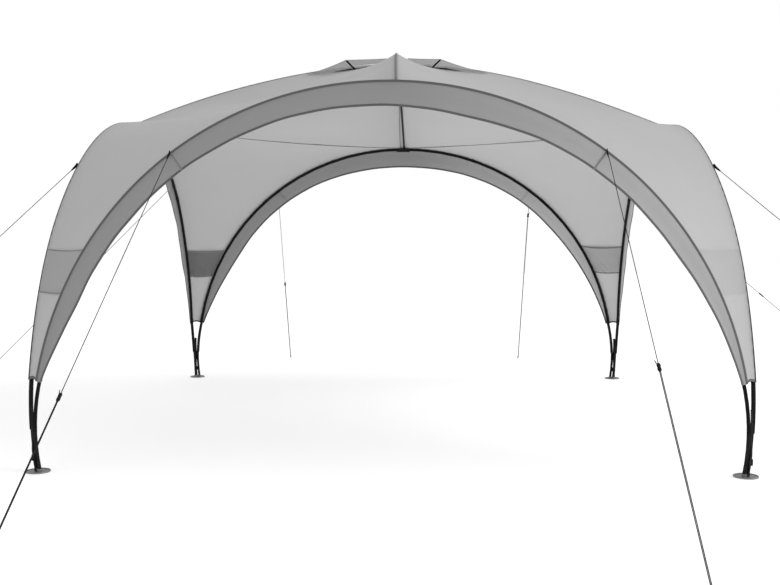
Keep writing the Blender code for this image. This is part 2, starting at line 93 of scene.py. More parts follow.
lens = bpy.data.cameras.new("camera")
lens.sensor_fit = "HORIZONTAL"
lens.sensor_width = SENSOR_WIDTH
lens.lens = LENS_IN_PIXELS * SENSOR_WIDTH / IMAGE_WIDTH
camera = show("camera", lens)
turn = Matrix((rolled_right, rolled_up, -ahead)).transposed().to_4x4()
camera.matrix_world = Matrix.Translation(CAMERA_AT) @ turn
scene.camera = camera
print("lens in mm:", round(lens.lens, 1))

# %% [markdown]
# ## Floor and light
# The tent stands on a plain pale floor that runs out of sight. A white world lights it from
# everywhere, as on a bright overcast day, and one large soft sun from the upper right gives the
# right half its lighter cloth, with a soft panel beside it for the panels that face right. The
# world could simply be one white, but then its strength and the brightness of the backdrop
# would be tied together, so the camera's own rays get a white of their own.

# %% Make the floor and the lights
FLOOR_SIZE = 60
SKY_STRENGTH = 0.67
SUN_STRENGTH = 1.00
SIDE_POWER = 48
FLOOR_GLOW = 0.37
SUN_FROM = Vector((0.85, -0.15, 0.50))
SIDE_LIGHT_AT = Vector((5.5, 0.6, 2.2))
SIDE_LIGHT_FROM = Vector((5.5, 0.6, 1.0))
SIDE_LIGHT_SIZE = (5, 3)
SUN_SPREAD = math.radians(40)
FLOOR_PAINT = (0.90, 0.90, 0.90, 1)
WHITE = (1, 1, 1, 1)

floor_shape = bmesh.new()
bmesh.ops.create_grid(floor_shape, x_segments=8, y_segments=8, size=FLOOR_SIZE / 2)
floor_data = bpy.data.meshes.new("floor")
floor_shape.to_mesh(floor_data)
floor_shape.free()
floor = show("floor", floor_data)
floor_paint = bpy.data.materials.new("studio_floor")
floor_paint.use_nodes = True
paint = floor_paint.node_tree.nodes["Principled BSDF"]
fill(paint, Base_Color=FLOOR_PAINT, Roughness=0.9)
fill(paint, Emission_Color=WHITE, Emission_Strength=FLOOR_GLOW)
floor_data.materials.append(floor_paint)

sun_data = bpy.data.lights.new("soft_sun", "SUN")
sun_data.energy = SUN_STRENGTH
sun_data.angle = SUN_SPREAD
sun = show("soft_sun", sun_data)
sun.rotation_euler = SUN_FROM.to_track_quat("Z", "Y").to_euler()

side_data = bpy.data.lights.new("side_light", "AREA")
side_data.shape = "RECTANGLE"
side_data.size, side_data.size_y = SIDE_LIGHT_SIZE
side_data.energy = SIDE_POWER
side_light = show("side_light", side_data)
side_light.location = SIDE_LIGHT_AT
side_light.rotation_euler = SIDE_LIGHT_FROM.to_track_quat("Z", "Y").to_euler()

world = bpy.data.worlds.new("studio")
world.use_nodes = True
scene.world = world
sky = world.node_tree
sky.nodes.clear()
light = sky.nodes.new("ShaderNodeBackground")
fill(light, Color=WHITE, Strength=SKY_STRENGTH)
backdrop = sky.nodes.new("ShaderNodeBackground")
fill(backdrop, Color=WHITE)
path = sky.nodes.new("ShaderNodeLightPath")
choose = sky.nodes.new("ShaderNodeMixShader")
world_out = sky.nodes.new("ShaderNodeOutputWorld")
sky.links.new(path.outputs["Is Camera Ray"], choose.inputs["Fac"])
sky.links.new(light.outputs[0], choose.inputs[1])
sky.links.new(backdrop.outputs[0], choose.inputs[2])
sky.links.new(choose.outputs[0], world_out.inputs["Surface"])
scene.view_settings.view_transform = "Standard"

# %% [markdown]
# ## The curve of the arches
# Every piece of cloth hangs from the same curve, so that curve comes first. An arch is a
# slightly squared half circle: its width and height follow powers of the cosine and sine of
# one angle, from 0 at its right foot to a half turn at its left. The seam runs about 15 mm
# outside the pole's centre line. All four sides are one side turned by quarters of a turn.

# %% Name the arch's sizes and points
ARCH_HALF_WIDTH = 1.805
ARCH_RISE = 1.812
ARCH_SPRING_HEIGHT = 0.17
ARCH_POWER = 2 / 2.03
ARCH_PLANE_LOW = 1.849
ARCH_LEAN = 0.0195
LEG_TOP_HEIGHT = 0.50
HEM_HEIGHT = 0.475
POLE_RADIUS = 0.010
SEAM_OUT = 0.0155
SEAM_FORWARD = 0.008
SETTLE = 0.033
SETTLE_FROM = 0.4
SETTLE_HEIGHTS = (0.6, 1.9)
SIDES_IN = 0.016
SIDES_IN_FROM = 1.2
SIDES_IN_HEIGHTS = (1.0, 1.9)
SIDES = {
    "front": (0, ("left", "right")),
    "right": (1, ("front", "back")),
    "back": (2, ("right", "left")),
    "left": (3, ("back", "front")),
}
CORNERS = {"front_left": 0, "front_right": 1, "back_right": 2, "back_left": 3}
UP = Vector((0, 0, 1))
FORWARD = Vector((0, -1, 0))
OUTWARD = Vector((-1, -1, 0)).normalized()


def arch_angle(height):
    """The angle at which an arch reaches a height."""
    share = (height - ARCH_SPRING_HEIGHT) / ARCH_RISE
    return math.asin(share ** (1 / ARCH_POWER))


def arch_spot(angle, outward=0.0, forward=0.0):
    """A point of the front arch, pushed out of its curve and forward of its plane."""
    along = math.copysign(abs(math.cos(angle)) ** ARCH_POWER, math.cos(angle))
    x = (ARCH_HALF_WIDTH + outward) * along
    z = ARCH_SPRING_HEIGHT + (ARCH_RISE + outward) * math.sin(angle) ** ARCH_POWER
    plane = ARCH_PLANE_LOW - ARCH_LEAN * (z - LEG_TOP_HEIGHT)
    return Vector((x, -plane - forward, z))


def seam_spot(angle):
    return arch_spot(angle, SEAM_OUT, SEAM_FORWARD)


def quarter_turn(quarters):
    return Matrix.Rotation(math.pi / 2 * quarters, 3, "Z")


def smooth_step(low, high, value):
    """From 0 at low to 1 at high, with no kink."""
    share = min(1.0, max(0.0, (value - low) / (high - low)))
    return share * share * (3 - 2 * share)


HEM_ANGLE = arch_angle(HEM_HEIGHT)
APEX = seam_spot(math.pi / 2)
ROOF_HALF = -APEX.y


def settled(point):
    """The top of the tent's right side has sunk a little, and both sides lean in."""
    x, y, z = point
    beside = smooth_step(SETTLE_FROM, ROOF_HALF, x) * max(0.0, 1 - (y / ROOF_HALF) ** 2)
    down = SETTLE * beside * smooth_step(*SETTLE_HEIGHTS, z)
    beside = smooth_step(SIDES_IN_FROM, ROOF_HALF, abs(x)) * max(0.0, 1 - (y / ROOF_HALF) ** 6)
    inward = SIDES_IN * beside * smooth_step(*SIDES_IN_HEIGHTS, z)
    return Vector((x - math.copysign(inward, x), y, z - down))


print("apex of the seam:", [round(c, 3) for c in APEX])

# %% [markdown]
# ## Mesh helpers
# Cloth, tape, cord and webbing are all bent grids here. A grid from bmesh.ops.create_grid gets
# its points moved to where a small function says, and each corner of each face keeps its place
# on the flat cloth, in metres, as a UV map. A weave drawn on that map then has the same size
# everywhere and follows every fold. A sweep is the same grid rolled round a line, for cords and
# tapes.

# %% Make the grid and sweep helpers
UV_NAME = "metres"


def steps(count):
    """The shares from 0 to 1 at the ends of so many equal parts."""
    return [i / count for i in range(count + 1)]


def bent_grid(columns, rows, place):
    """A grid whose points go to place(u, v): a point, and its (across, along) in metres."""
    shape = bmesh.new()
    bmesh.ops.create_grid(shape, x_segments=columns, y_segments=rows, size=0.5)
    flat = shape.loops.layers.uv.new(UV_NAME)
    spots = {v: place(v.co.x + 0.5, v.co.y + 0.5) for v in shape.verts}
    for face in shape.faces:
        for loop in face.loops:
            loop[flat].uv = spots[loop.vert][1]
    for vert, (point, _) in spots.items():
        vert.co = point
    return shape


def stations(points, facing):
    """(point, side, up) at each point of a line, where up leans towards facing(i)."""
    made = []
    for i, point in enumerate(points):
        before = points[max(i - 1, 0)]
        after = points[min(i + 1, len(points) - 1)]
        tangent = (after - before).normalized()
        wish = facing(i) if callable(facing) else facing
        side = tangent.cross(wish).normalized()
        made.append((point, side, side.cross(tangent)))
    return made


def sweep(profile, line, ends=True):
    """A closed profile of (side, up) offsets carried along the stations of a line."""
    around = len(profile)
    rows = len(line) - 1
    run = [0.0]
    for (a, _, _), (b, _, _) in zip(line, line[1:]):
        run.append(run[-1] + (b - a).length)
    girth = [0.0]
    for i in range(around):
        a, b = Vector(profile[i]), Vector(profile[(i + 1) % around])
        girth.append(girth[-1] + (b - a).length)

    def place(u, v):
        i, j = round(u * around), round(v * rows)
        point, side, above = line[j]
        a, b = profile[i % around]
        return point + side * a + above * b, (girth[i], run[j])

    shape = bent_grid(around, rows, place)
    bmesh.ops.remove_doubles(shape, verts=shape.verts, dist=1e-6)
    if ends:
        rims = [e for e in shape.edges if e.is_boundary]
        bmesh.ops.holes_fill(shape, edges=rims, sides=0)
    bmesh.ops.recalc_face_normals(shape, faces=shape.faces)
    return shape


print("a grid of 4 by 2 has", len(steps(4)) * len(steps(2)), "points")

# %% [markdown]
# A sweep needs the outline of its cut: a ring for cord, a flat band for tape. Finished shapes are
# gathered, turned to their side of the tent, faced outward, and made into a named object that
# rides on the frame and hides the frame's solids that it stands for.

# %% Make the outline and piece helpers


def ring(radius, count=10, squash=1.0):
    turns = [2 * math.pi * i / count for i in range(count)]
    return [(radius * math.cos(t), radius * squash * math.sin(t)) for t in turns]


def flat_band(width, thickness):
    """The outline of a tape's cut end, standing on its underside."""
    a, b = width / 2, thickness
    return [(-a, 0), (a, 0), (a, b * 0.6), (a * 0.85, b), (-a * 0.85, b), (-a, b * 0.6)]


def tape(points, width, thickness, facing):
    """A flat tape along a line, with its upper face towards facing."""
    return sweep(flat_band(width, thickness), stations(points, facing))


def laid_tape(line, width, thickness):
    """A flat tape along pairs of a point and the way its upper face looks there."""
    return tape([p for p, _ in line], width, thickness, lambda i: line[i][1])


def gather(shapes):
    """Several bmeshes as one."""
    whole = bmesh.new()
    whole.loops.layers.uv.new(UV_NAME)
    for shape in shapes:
        part = bpy.data.meshes.new("part")
        shape.to_mesh(part)
        shape.free()
        whole.from_mesh(part)
        bpy.data.meshes.remove(part)
    return whole


def turn_shape(shape, quarters):
    bmesh.ops.rotate(shape, verts=shape.verts, cent=(0, 0, 0), matrix=quarter_turn(quarters))
    return shape


def face_out(shape, centre):
    """Turns an open sheet so that it faces away from a point."""
    shape.normal_update()
    total = 0
    for face in shape.faces:
        total += (face.calc_center_median() - centre).dot(face.normal) * face.calc_area()
    if total < 0:
        bmesh.ops.reverse_faces(shape, faces=shape.faces)
    return shape


def piece(name, shape, finish, replaces=(), sinks=True):
    """Turns a bmesh into an object that rides on the frame, and hides the frame's solids it
    replaces.
    """
    if sinks:
        for vert in shape.verts:
            vert.co = settled(vert.co)
    data = bpy.data.meshes.new(name)
    shape.to_mesh(data)
    shape.free()
    data.shade_smooth()
    data.materials.append(finish)
    made = show(name, data)
    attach(made, "root")
    if replaces:
        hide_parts(*replaces)
    return made


def cloth_area(made):
    return sum(face.area for face in made.data.polygons)


print("a tape's outline has", len(flat_band(0.01, 0.001)), "corners")

# %% [markdown]
# ## Shared effects for the finishes
# A material is a small network of nodes. Writing each link by hand is long, so a few helpers
# make a node, set its inputs and hand back its output, and lines of them read like a sum.

# %% Build the node helpers


def new_group(name, inputs, outputs):
    tree = bpy.data.node_groups.new(name, "ShaderNodeTree")
    for label, value in inputs.items():
        socket = tree.interface.new_socket(label, in_out="INPUT", socket_type="NodeSocketFloat")
        socket.default_value = value
    for label in outputs:
        tree.interface.new_socket(label, in_out="OUTPUT", socket_type="NodeSocketFloat")
    return tree, tree.nodes.new("NodeGroupInput"), tree.nodes.new("NodeGroupOutput")


def math_node(tree, operation, first, second=None, third=None):
    """A Math node fed by sockets or plain numbers."""
    node = tree.nodes.new("ShaderNodeMath")
    node.operation = operation
    for slot, value in zip(node.inputs, (first, second, third)):
        if value is None:
            continue
        if isinstance(value, (int, float)):
            slot.default_value = value
        else:
            tree.links.new(value, slot)
    return node.outputs[0]


def noise_node(tree, vector, scale, detail=2.0, roughness=0.5):
    node = tree.nodes.new("ShaderNodeTexNoise")
    fill(node, Detail=detail, Roughness=roughness)
    tree.links.new(vector, node.inputs["Vector"])
    if isinstance(scale, (int, float)):
        node.inputs["Scale"].default_value = scale
    else:
        tree.links.new(scale, node.inputs["Scale"])
    return node.outputs["Fac"]


def in_space(tree):
    return tree.nodes.new("ShaderNodeTexCoord").outputs["Object"]


def axes(tree, vector):
    node = tree.nodes.new("ShaderNodeSeparateXYZ")
    tree.links.new(vector, node.inputs[0])
    return node.outputs


def on_the_cloth(tree):
    """X and Y on the flat cloth, in metres."""
    node = tree.nodes.new("ShaderNodeUVMap")
    node.uv_map = UV_NAME
    return axes(tree, node.outputs[0])


def from_0_to_1(tree, value):
    node = tree.nodes.new("ShaderNodeClamp")
    tree.links.new(value, node.inputs["Value"])
    return node.outputs[0]


print("node helpers ready")

# %% [markdown]
# A weave, soft creases with painted shade in their hollows, painted light towards the right side,
# and dust show up in several materials, so each is a node group that is built once and placed
# where it is needed. A group puts out only a height or a mask.
# The shader itself stays in each material, because a material has to be readable without
# opening its groups.

# %% Build the shared groups
# Weave: threads over and under each other, on the flat cloth's own metres
weave_group, given, shown = new_group("plain_weave", {"Pitch": 0.0012}, ("Height",))
place = on_the_cloth(weave_group)
waves = []
for axis in ("X", "Y"):
    phase = math_node(weave_group, "DIVIDE", place[axis], given.outputs["Pitch"])
    phase = math_node(weave_group, "MULTIPLY", phase, math.pi)
    waves.append(math_node(weave_group, "SINE", phase))
crossed = math_node(weave_group, "MULTIPLY", waves[0], waves[1])
height = math_node(weave_group, "MULTIPLY_ADD", crossed, 0.5, 0.5)
weave_group.links.new(height, shown.inputs["Height"])

# Creases: long soft folds and small puckers, anywhere in space; the folds also give a painted
# shade mask, darker in their hollows
crease_group, given, shown = new_group(
    "soft_creases", {"Folds": 2.2, "Puckers": 14.0, "Pucker share": 0.25}, ("Height", "Fold shade")
)
where = in_space(crease_group)
folds = noise_node(crease_group, where, given.outputs["Folds"], 3.0, 0.55)
puckers = noise_node(crease_group, where, given.outputs["Puckers"], 2.0, 0.5)
small = math_node(crease_group, "MULTIPLY", puckers, given.outputs["Pucker share"])
crease_group.links.new(math_node(crease_group, "ADD", folds, small), shown.inputs["Height"])
crease_group.links.new(folds, shown.inputs["Fold shade"])

# Painted light: a mask that grows from the tent's middle to its right side, where the cloth is
# painted lighter as if lit from the right
painted_light_group, given, shown = new_group("painted_right_light", {"From": 0.1, "Span": 1.2}, ("Mask",))
place = axes(painted_light_group, in_space(painted_light_group))
aside = math_node(painted_light_group, "SUBTRACT", place["X"], given.outputs["From"])
aside = math_node(painted_light_group, "DIVIDE", aside, given.outputs["Span"])
painted_light_group.links.new(from_0_to_1(painted_light_group, aside), shown.inputs["Mask"])

# Dust: a soft mottled mask that is strongest near the ground
DUST_LEAST = 0.06
SPECKLE_FINENESS = 55.0
SPECKLE_FROM = 0.35
SPECKLE_CONTRAST = 2.2
dust_group, given, shown = new_group("ground_dust", {"Reach": 0.35, "Amount": 0.6}, ("Mask",))
where = in_space(dust_group)
low = math_node(dust_group, "DIVIDE", axes(dust_group, where)["Z"], given.outputs["Reach"])
low = math_node(dust_group, "SUBTRACT", 1.0, low)
low = math_node(dust_group, "MAXIMUM", low, DUST_LEAST)
speckle = noise_node(dust_group, where, SPECKLE_FINENESS, 4.0, 0.65)
speckle = math_node(dust_group, "SUBTRACT", speckle, SPECKLE_FROM)
speckle = math_node(dust_group, "MULTIPLY", speckle, SPECKLE_CONTRAST)
mask = math_node(dust_group, "MULTIPLY", low, speckle)
mask = math_node(dust_group, "MULTIPLY", mask, given.outputs["Amount"])
dust_group.links.new(from_0_to_1(dust_group, mask), shown.inputs["Mask"])
print("node groups:", [g.name for g in bpy.data.node_groups])

# %% [markdown]
# ## Finishes
# Every finish starts from the Principled shader, which Blender puts into a new material. These
# helpers place a shared group, mix two colours by a mask, and turn a height into a bump.

# %% Make the shader helpers


def material_base(name, roughness, metallic=0.0, shine=0.5):
    made = bpy.data.materials.new(name)
    made.use_nodes = True
    tree = made.node_tree
    shader = tree.nodes["Principled BSDF"]
    fill(shader, Roughness=roughness, Metallic=metallic, Specular_IOR_Level=shine)
    return made, tree, shader


def place_group(tree, group, **values):
    node = tree.nodes.new("ShaderNodeGroup")
    node.node_tree = group
    fill(node, **values)
    return node


def blend_colours(tree, mask, dark, light_colour):
    """A colour that runs from one to the other as the mask goes from 0 to 1."""
    node = tree.nodes.new("ShaderNodeMix")
    node.data_type = "RGBA"
    tree.links.new(mask, node.inputs["Factor"])
    for socket, colour in ((node.inputs["A"], dark), (node.inputs["B"], light_colour)):
        if isinstance(colour, tuple):
            socket.default_value = (*colour, 1)
        else:
            tree.links.new(colour, socket)
    return node.outputs["Result"]


def bump(tree, height, distance, strength=1.0, below=None):
    node = tree.nodes.new("ShaderNodeBump")
    fill(node, Distance=distance, Strength=strength)
    tree.links.new(height, node.inputs["Height"])
    if below is not None:
        tree.links.new(below, node.inputs["Normal"])
    return node.outputs["Normal"]


def grey(value, warmth=0.0):
    return (value * (1 + warmth), value, value * (1 - warmth))


def mottled(tree, mask, tone, spread):
    """A grey that varies by spread, as a share of its tone, where the mask does."""
    return blend_colours(tree, mask, grey(tone * (1 - spread)), grey(tone * (1 + spread)))


print("a warm grey:", [round(c, 3) for c in grey(0.25, 0.06)])

# %% [markdown]
# The cloth is coated polyester: a plain weave, a little sheen, and thin enough that daylight
# comes through. That last part is a Translucent shader mixed into the Principled one, so the
# inside of the roof glows where the sky lies behind it and turns dark where a second layer,
# such as a pocket, stops the light.

# %% Make the cloth finishes
FOLD_SHADE_SPREAD = 0.03
CLOTH_SHEEN = 0.12
THREAD_DEPTH = 0.00012


def cloth_finish(name, tone, through, roughness=0.62, pitch=0.0012, crease=0.006, right_light=1.0):
    """Coated cloth: a grey tone, the share of light that comes through, weave, and creases whose
    hollows get painted shade.

    The tone grows by the factor right_light towards the tent's right side, as painted light from
    the right.
    """
    made, tree, shader = material_base(name, roughness)
    weave = place_group(tree, weave_group, Pitch=pitch)
    creases = place_group(tree, crease_group)
    # Painted shade: the cloth's colour is a few percent darker in the hollows of its folds.
    colour = mottled(tree, creases.outputs["Fold shade"], tone, FOLD_SHADE_SPREAD)
    # Painted light: the colour grows lighter towards the tent's right side by right_light.
    if right_light != 1:
        lit_colour = mottled(tree, creases.outputs["Fold shade"], tone * right_light, FOLD_SHADE_SPREAD)
        right_side = place_group(tree, painted_light_group)
        colour = blend_colours(tree, right_side.outputs["Mask"], colour, lit_colour)
    tree.links.new(colour, shader.inputs["Base Color"])
    fill(shader, Sheen_Weight=CLOTH_SHEEN, Sheen_Roughness=0.4)
    soft = bump(tree, creases.outputs["Height"], crease, 0.6)
    normal = bump(tree, weave.outputs["Height"], THREAD_DEPTH, 0.7, soft)
    tree.links.new(normal, shader.inputs["Normal"])
    if through:
        glow = tree.nodes.new("ShaderNodeBsdfTranslucent")
        tree.links.new(colour, glow.inputs["Color"])
        tree.links.new(normal, glow.inputs["Normal"])
        both = tree.nodes.new("ShaderNodeMixShader")
        both.inputs["Fac"].default_value = through
        tree.links.new(shader.outputs[0], both.inputs[1])
        tree.links.new(glow.outputs[0], both.inputs[2])
        tree.links.new(both.outputs[0], tree.nodes["Material Output"].inputs["Surface"])
    return made


roof_cloth = cloth_finish("roof_cloth", tone=0.475, through=0.275)
# Painted light: the flap cloth is a lighter copy of the roof cloth that lets more light through,
# so the hoods' shaded undersides look lit.
flap_cloth_painted_light = cloth_finish("flap_cloth_painted_light", tone=0.54, through=0.60)
# Painted shade and light: the valance cloth is painted darker than the roof cloth, the back
# valance darker again, and both grow lighter towards the right by right_light.
valance_cloth = cloth_finish("valance_cloth", tone=0.30, through=0.32, right_light=1.42)
back_valance_cloth_painted_shade = cloth_finish("back_valance_cloth_painted_shade", tone=0.265, through=0.32, right_light=1.65)
hem_tape = cloth_finish("hem_tape", 0.10, 0.0, roughness=0.75, pitch=0.0016, crease=0.001)
seam_tape = cloth_finish("seam_tape", 0.20, 0.0, roughness=0.75, pitch=0.0016, crease=0.001)
print("cloth finishes:", [m.name for m in bpy.data.materials if "cloth" in m.name])

# %% [markdown]
# Webbing is the same weave as the cloth, but coarser and deeper. The cord is braided, which a
# slanted wave on its own flat map shows well. Window mesh is drawn as threads with open holes
# between them, through the shader's alpha.

# %% Make the webbing, cord and mesh finishes
WEBBING_PITCH = 0.0022
STRAND_PITCH = 0.004
MESH_PITCH = 0.0020
MESH_OPEN_BELOW = 0.25

webbing, tree, shader = material_base("black_webbing", 0.8, shine=0.1)
weave = place_group(tree, weave_group, Pitch=WEBBING_PITCH)
creases = place_group(tree, crease_group, Folds=30.0)
# Painted shade: the webbing is darker in the hollows of its folds.
colour = blend_colours(tree, creases.outputs["Fold shade"], grey(0.003), grey(0.010))
tree.links.new(colour, shader.inputs["Base Color"])
fill(shader, Sheen_Weight=0.03)
tree.links.new(bump(tree, weave.outputs["Height"], 0.0006), shader.inputs["Normal"])

guy_cord, tree, shader = material_base("guy_cord", 0.6, shine=0.2)
place = on_the_cloth(tree)
slant = math_node(tree, "ADD", place["X"], place["Y"])
slant = math_node(tree, "MULTIPLY", slant, 2 * math.pi / STRAND_PITCH)
strands = math_node(tree, "MULTIPLY_ADD", math_node(tree, "SINE", slant), 0.5, 0.5)
colour = blend_colours(tree, strands, grey(0.004), grey(0.016))
tree.links.new(colour, shader.inputs["Base Color"])
tree.links.new(bump(tree, strands, 0.0005), shader.inputs["Normal"])

window_mesh, tree, shader = material_base("window_mesh", 0.7)
place = on_the_cloth(tree)
threads = []
for axis in ("X", "Y"):
    wave = math_node(tree, "MULTIPLY", place[axis], 2 * math.pi / MESH_PITCH)
    threads.append(math_node(tree, "SINE", wave))
thread = math_node(tree, "MAXIMUM", threads[0], threads[1])
cover = math_node(tree, "GREATER_THAN", thread, MESH_OPEN_BELOW)
tree.links.new(cover, shader.inputs["Alpha"])
colour = blend_colours(tree, cover, grey(0.006), grey(0.012))
tree.links.new(colour, shader.inputs["Base Color"])
print("woven finishes ready")

# %% [markdown]
# The hard parts: black coated steel tube, black glass fibre, galvanised plate, moulded
# plastic and bright peg wire. Each has a slightly uneven surface, because a perfectly even
# one looks like nothing that was ever made.

# %% Make the hard finishes


def hard_finish(
    name, tone, roughness, metallic, grain, depth, shine=0.5, dust=0.0, dust_tone=0.25
):
    """A solid finish with an uneven surface, and dust that gathers low down."""
    made, tree, shader = material_base(name, roughness, metallic, shine)
    uneven = noise_node(tree, in_space(tree), grain, 4.0, 0.6)
    colour = mottled(tree, uneven, tone, 0.2)
    rough = math_node(tree, "MULTIPLY_ADD", uneven, 0.25, roughness - 0.12)
    if dust:
        dusty = place_group(tree, dust_group, Amount=dust)
        colour = blend_colours(tree, dusty.outputs["Mask"], colour, grey(dust_tone, 0.06))
        rough = math_node(tree, "MULTIPLY_ADD", dusty.outputs["Mask"], 0.4, rough)
    tree.links.new(colour, shader.inputs["Base Color"])
    tree.links.new(rough, shader.inputs["Roughness"])
    tree.links.new(bump(tree, uneven, depth), shader.inputs["Normal"])
    return made


pole_steel = hard_finish("pole_steel", 0.004, 0.5, 0.0, 220.0, 0.0002, shine=0.12, dust=0.08)
roof_pole_glassfibre = hard_finish(
    "roof_pole_glassfibre", 0.004, 0.5, 0.0, 160.0, 0.0002, shine=0.12
)
black_plastic = hard_finish("black_plastic", 0.005, 0.5, 0.0, 300.0, 0.0002, shine=0.2, dust=0.06)
plate_steel = hard_finish("plate_steel", 0.30, 0.42, 0.85, 90.0, 0.0003, dust=0.5, dust_tone=0.18)
peg_steel = hard_finish("peg_steel", 0.55, 0.3, 1.0, 150.0, 0.0002, dust=0.4)
print("finishes:", len(bpy.data.materials))

# %% [markdown]
# ## The roof cloth
# One sheet covers everything: a dome between the four apexes, and at each corner a long
# tapering panel that runs down towards the foot. Separate flat panels would show their edges,
# so a quarter of the roof is a single grid: its lower rows go from arch to arch, hollow between
# them as stretched cloth is, and its upper rows go on into the dome. Three turned copies are
# then merged with it along their shared lines.
# Two formulas come first. One gives the dome's height. The other shifts and lowers the merged
# sheet a little, because the real ridge pole stands off the middle, and the pole across it lies
# lower than a quarter turn would give.

# %% Give the dome its height
ROOF_RISE = 0.400
RIDGE_POWER = 2.0
CROSS_POWER = 1.78
ROOF_HOLLOW = 0.25
CREST_HOLLOW = 0.100
CREST_REACH = 0.25
CREST_FADE = 0.35
RIDGE_SHIFT = 0.005
RIDGE_SHIFT_SLANT = -0.018
RIDGE_SHIFT_BEND = 0.022
RIDGE_REACH = 0.50
RIDGE_END = 1.2


def roof_height(x, y):
    """The dome's height: a crest over each pole, and hollow between the two."""
    u, v = abs(x) / ROOF_HALF, abs(y) / ROOF_HALF
    domed = ROOF_RISE * (1 - (u + v) ** RIDGE_POWER - ROOF_HOLLOW * u * v)
    off_ridges = (1 - math.exp(-abs(x) / CREST_REACH)) * (1 - math.exp(-abs(y) / CREST_REACH))
    return APEX.z + domed - CREST_HOLLOW * off_ridges * smooth_step(0, CREST_FADE, 1 - u - v)


def ridge_shift(y):
    """How far to the right the ridge pole stands, from front to back."""
    share = y / ROOF_HALF
    return RIDGE_SHIFT + RIDGE_SHIFT_SLANT * share + RIDGE_SHIFT_BEND * share**2


def cross_sag(x, y):
    """How much lower the dome lies over the cross pole than over the ridge pole."""
    u, v = abs(x) / ROOF_HALF, abs(y) / ROOF_HALF
    total = min(1.0, u + v)
    power = RIDGE_POWER + (CROSS_POWER - RIDGE_POWER) * u / max(u + v, 1e-6)
    return ROOF_RISE * (total**power - total**RIDGE_POWER)


def over_ridge(point):
    """Lets the turned copies follow the real poles, which are not quite alike."""
    x = point.x + ridge_shift(point.y) * (1 - smooth_step(0, RIDGE_REACH, abs(point.x)))
    fall = (x**2 - point.x**2) / (2 * ARCH_RISE)
    fall *= smooth_step(RIDGE_END, ROOF_HALF, abs(point.y))
    return Vector((x, point.y, point.z - fall - cross_sag(point.x, point.y)))


def follow_ridge(shape):
    for vert in shape.verts:
        vert.co = over_ridge(vert.co)
    return shape


print("crown of the cloth:", round(roof_height(0, 0), 3))

# %% [markdown]
# A corner panel goes from the seam of one arch to the seam of the next, a little hollow between
# them. The dome's quarter starts on the panel's upper edge, so both have the same height there.

# %% Shape a quarter of the roof
HIP_HOLLOW = 0.014
HIP_HOLLOW_LOW = 0.020

def hip_spot(across, angle):
    """The front left corner panel: across goes from the front arch to the left one."""
    front = seam_spot(math.pi - angle)
    other = Vector((front.y, front.x, front.z))
    chord = other - front
    out = Vector((-math.cos(angle), -math.cos(angle), math.sqrt(2) * math.sin(angle)))
    hollow = chord.length * (HIP_HOLLOW + HIP_HOLLOW_LOW * math.cos(angle))
    return front + chord * across - out.normalized() * hollow * 4 * across * (1 - across)


EDGE_DROP = hip_spot(0.5, math.pi / 2).z - roof_height(ROOF_HALF / 2, ROOF_HALF / 2)


def dome_spot(across, share):
    """The dome's front left quarter: share is 0 in the middle and 1 at the diamond's edge."""
    x = -across * share * ROOF_HALF
    y = -(1 - across) * share * ROOF_HALF
    drop = EDGE_DROP * 4 * across * (1 - across) * smooth_step(0.6, 1.0, share)
    return Vector((x, y, roof_height(x, y) + drop))


def surface_normal(spot, u, v):
    """The upward normal of a surface given as spot(u, v)."""
    step = 0.002
    across = spot(u + step, v) - spot(u - step, v)
    along = spot(u, v + step) - spot(u, v - step)
    normal = across.cross(along).normalized()
    return normal if normal.z > 0 else -normal


print("drop at the middle of the diamond's edge:", round(EDGE_DROP, 3))

# %% [markdown]
# The wrinkles are real geometry: the cloth puckers along its seams and rolls in slow waves
# between them. The quarter is then spun round three times and merged into one sheet.

# %% Fold and merge the roof
PUCKER_DEPTH = 0.0012
PUCKER_RATE = 95
PUCKER_REACH = 0.035
SLOW_WAVES = ((0.004, 1.7), (0.0016, 5.5))
QUARTER_COLUMNS = 56
HIP_ROWS = 84
DOME_ROWS = 34
HIP_LENGTH = 2.75
DOME_LENGTH = 1.60
EDGE_LENGTH = 2.585
HEM_SCALLOP = 0.011


def roof_folds(point, across, run, seam_length):
    """How far the cloth lies off its smooth shape: puckers at its seams, slow waves between."""
    from_seam = min(across, 1 - across) * seam_length
    pucker = PUCKER_DEPTH * math.sin(run * PUCKER_RATE) * math.exp(-from_seam / PUCKER_REACH)
    slow = sum(depth * noise.noise(point * rate) for depth, rate in SLOW_WAVES)
    return pucker + slow * min(1.0, 12 * across * (1 - across))


def place_roof(u, v):
    row = v * (HIP_ROWS + DOME_ROWS)
    if row <= HIP_ROWS:
        share = row / HIP_ROWS
        angle = HEM_ANGLE + (math.pi / 2 - HEM_ANGLE) * share
        point = hip_spot(u, angle)
        seam = seam_spot(angle)
        chord = math.sqrt(2) * abs(seam.x + seam.y)
        point += surface_normal(hip_spot, u, angle) * roof_folds(point, u, angle * 1.8, chord)
        point.z += HEM_SCALLOP * 4 * u * (1 - u) * smooth_step(0.06, 0.0, share)
        return point, ((u - 0.5) * chord, share * HIP_LENGTH)
    share = 1 - (row - HIP_ROWS) / DOME_ROWS
    point = dome_spot(u, share)
    if 0 < u < 1 and share > 0:
        lift = roof_folds(point, u, share * ROOF_HALF, share * EDGE_LENGTH)
        point += surface_normal(dome_spot, u, share) * lift * smooth_step(0, 0.1, u * (1 - u))
    return point, ((u - 0.5) * EDGE_LENGTH * share, HIP_LENGTH + (1 - share) * DOME_LENGTH)


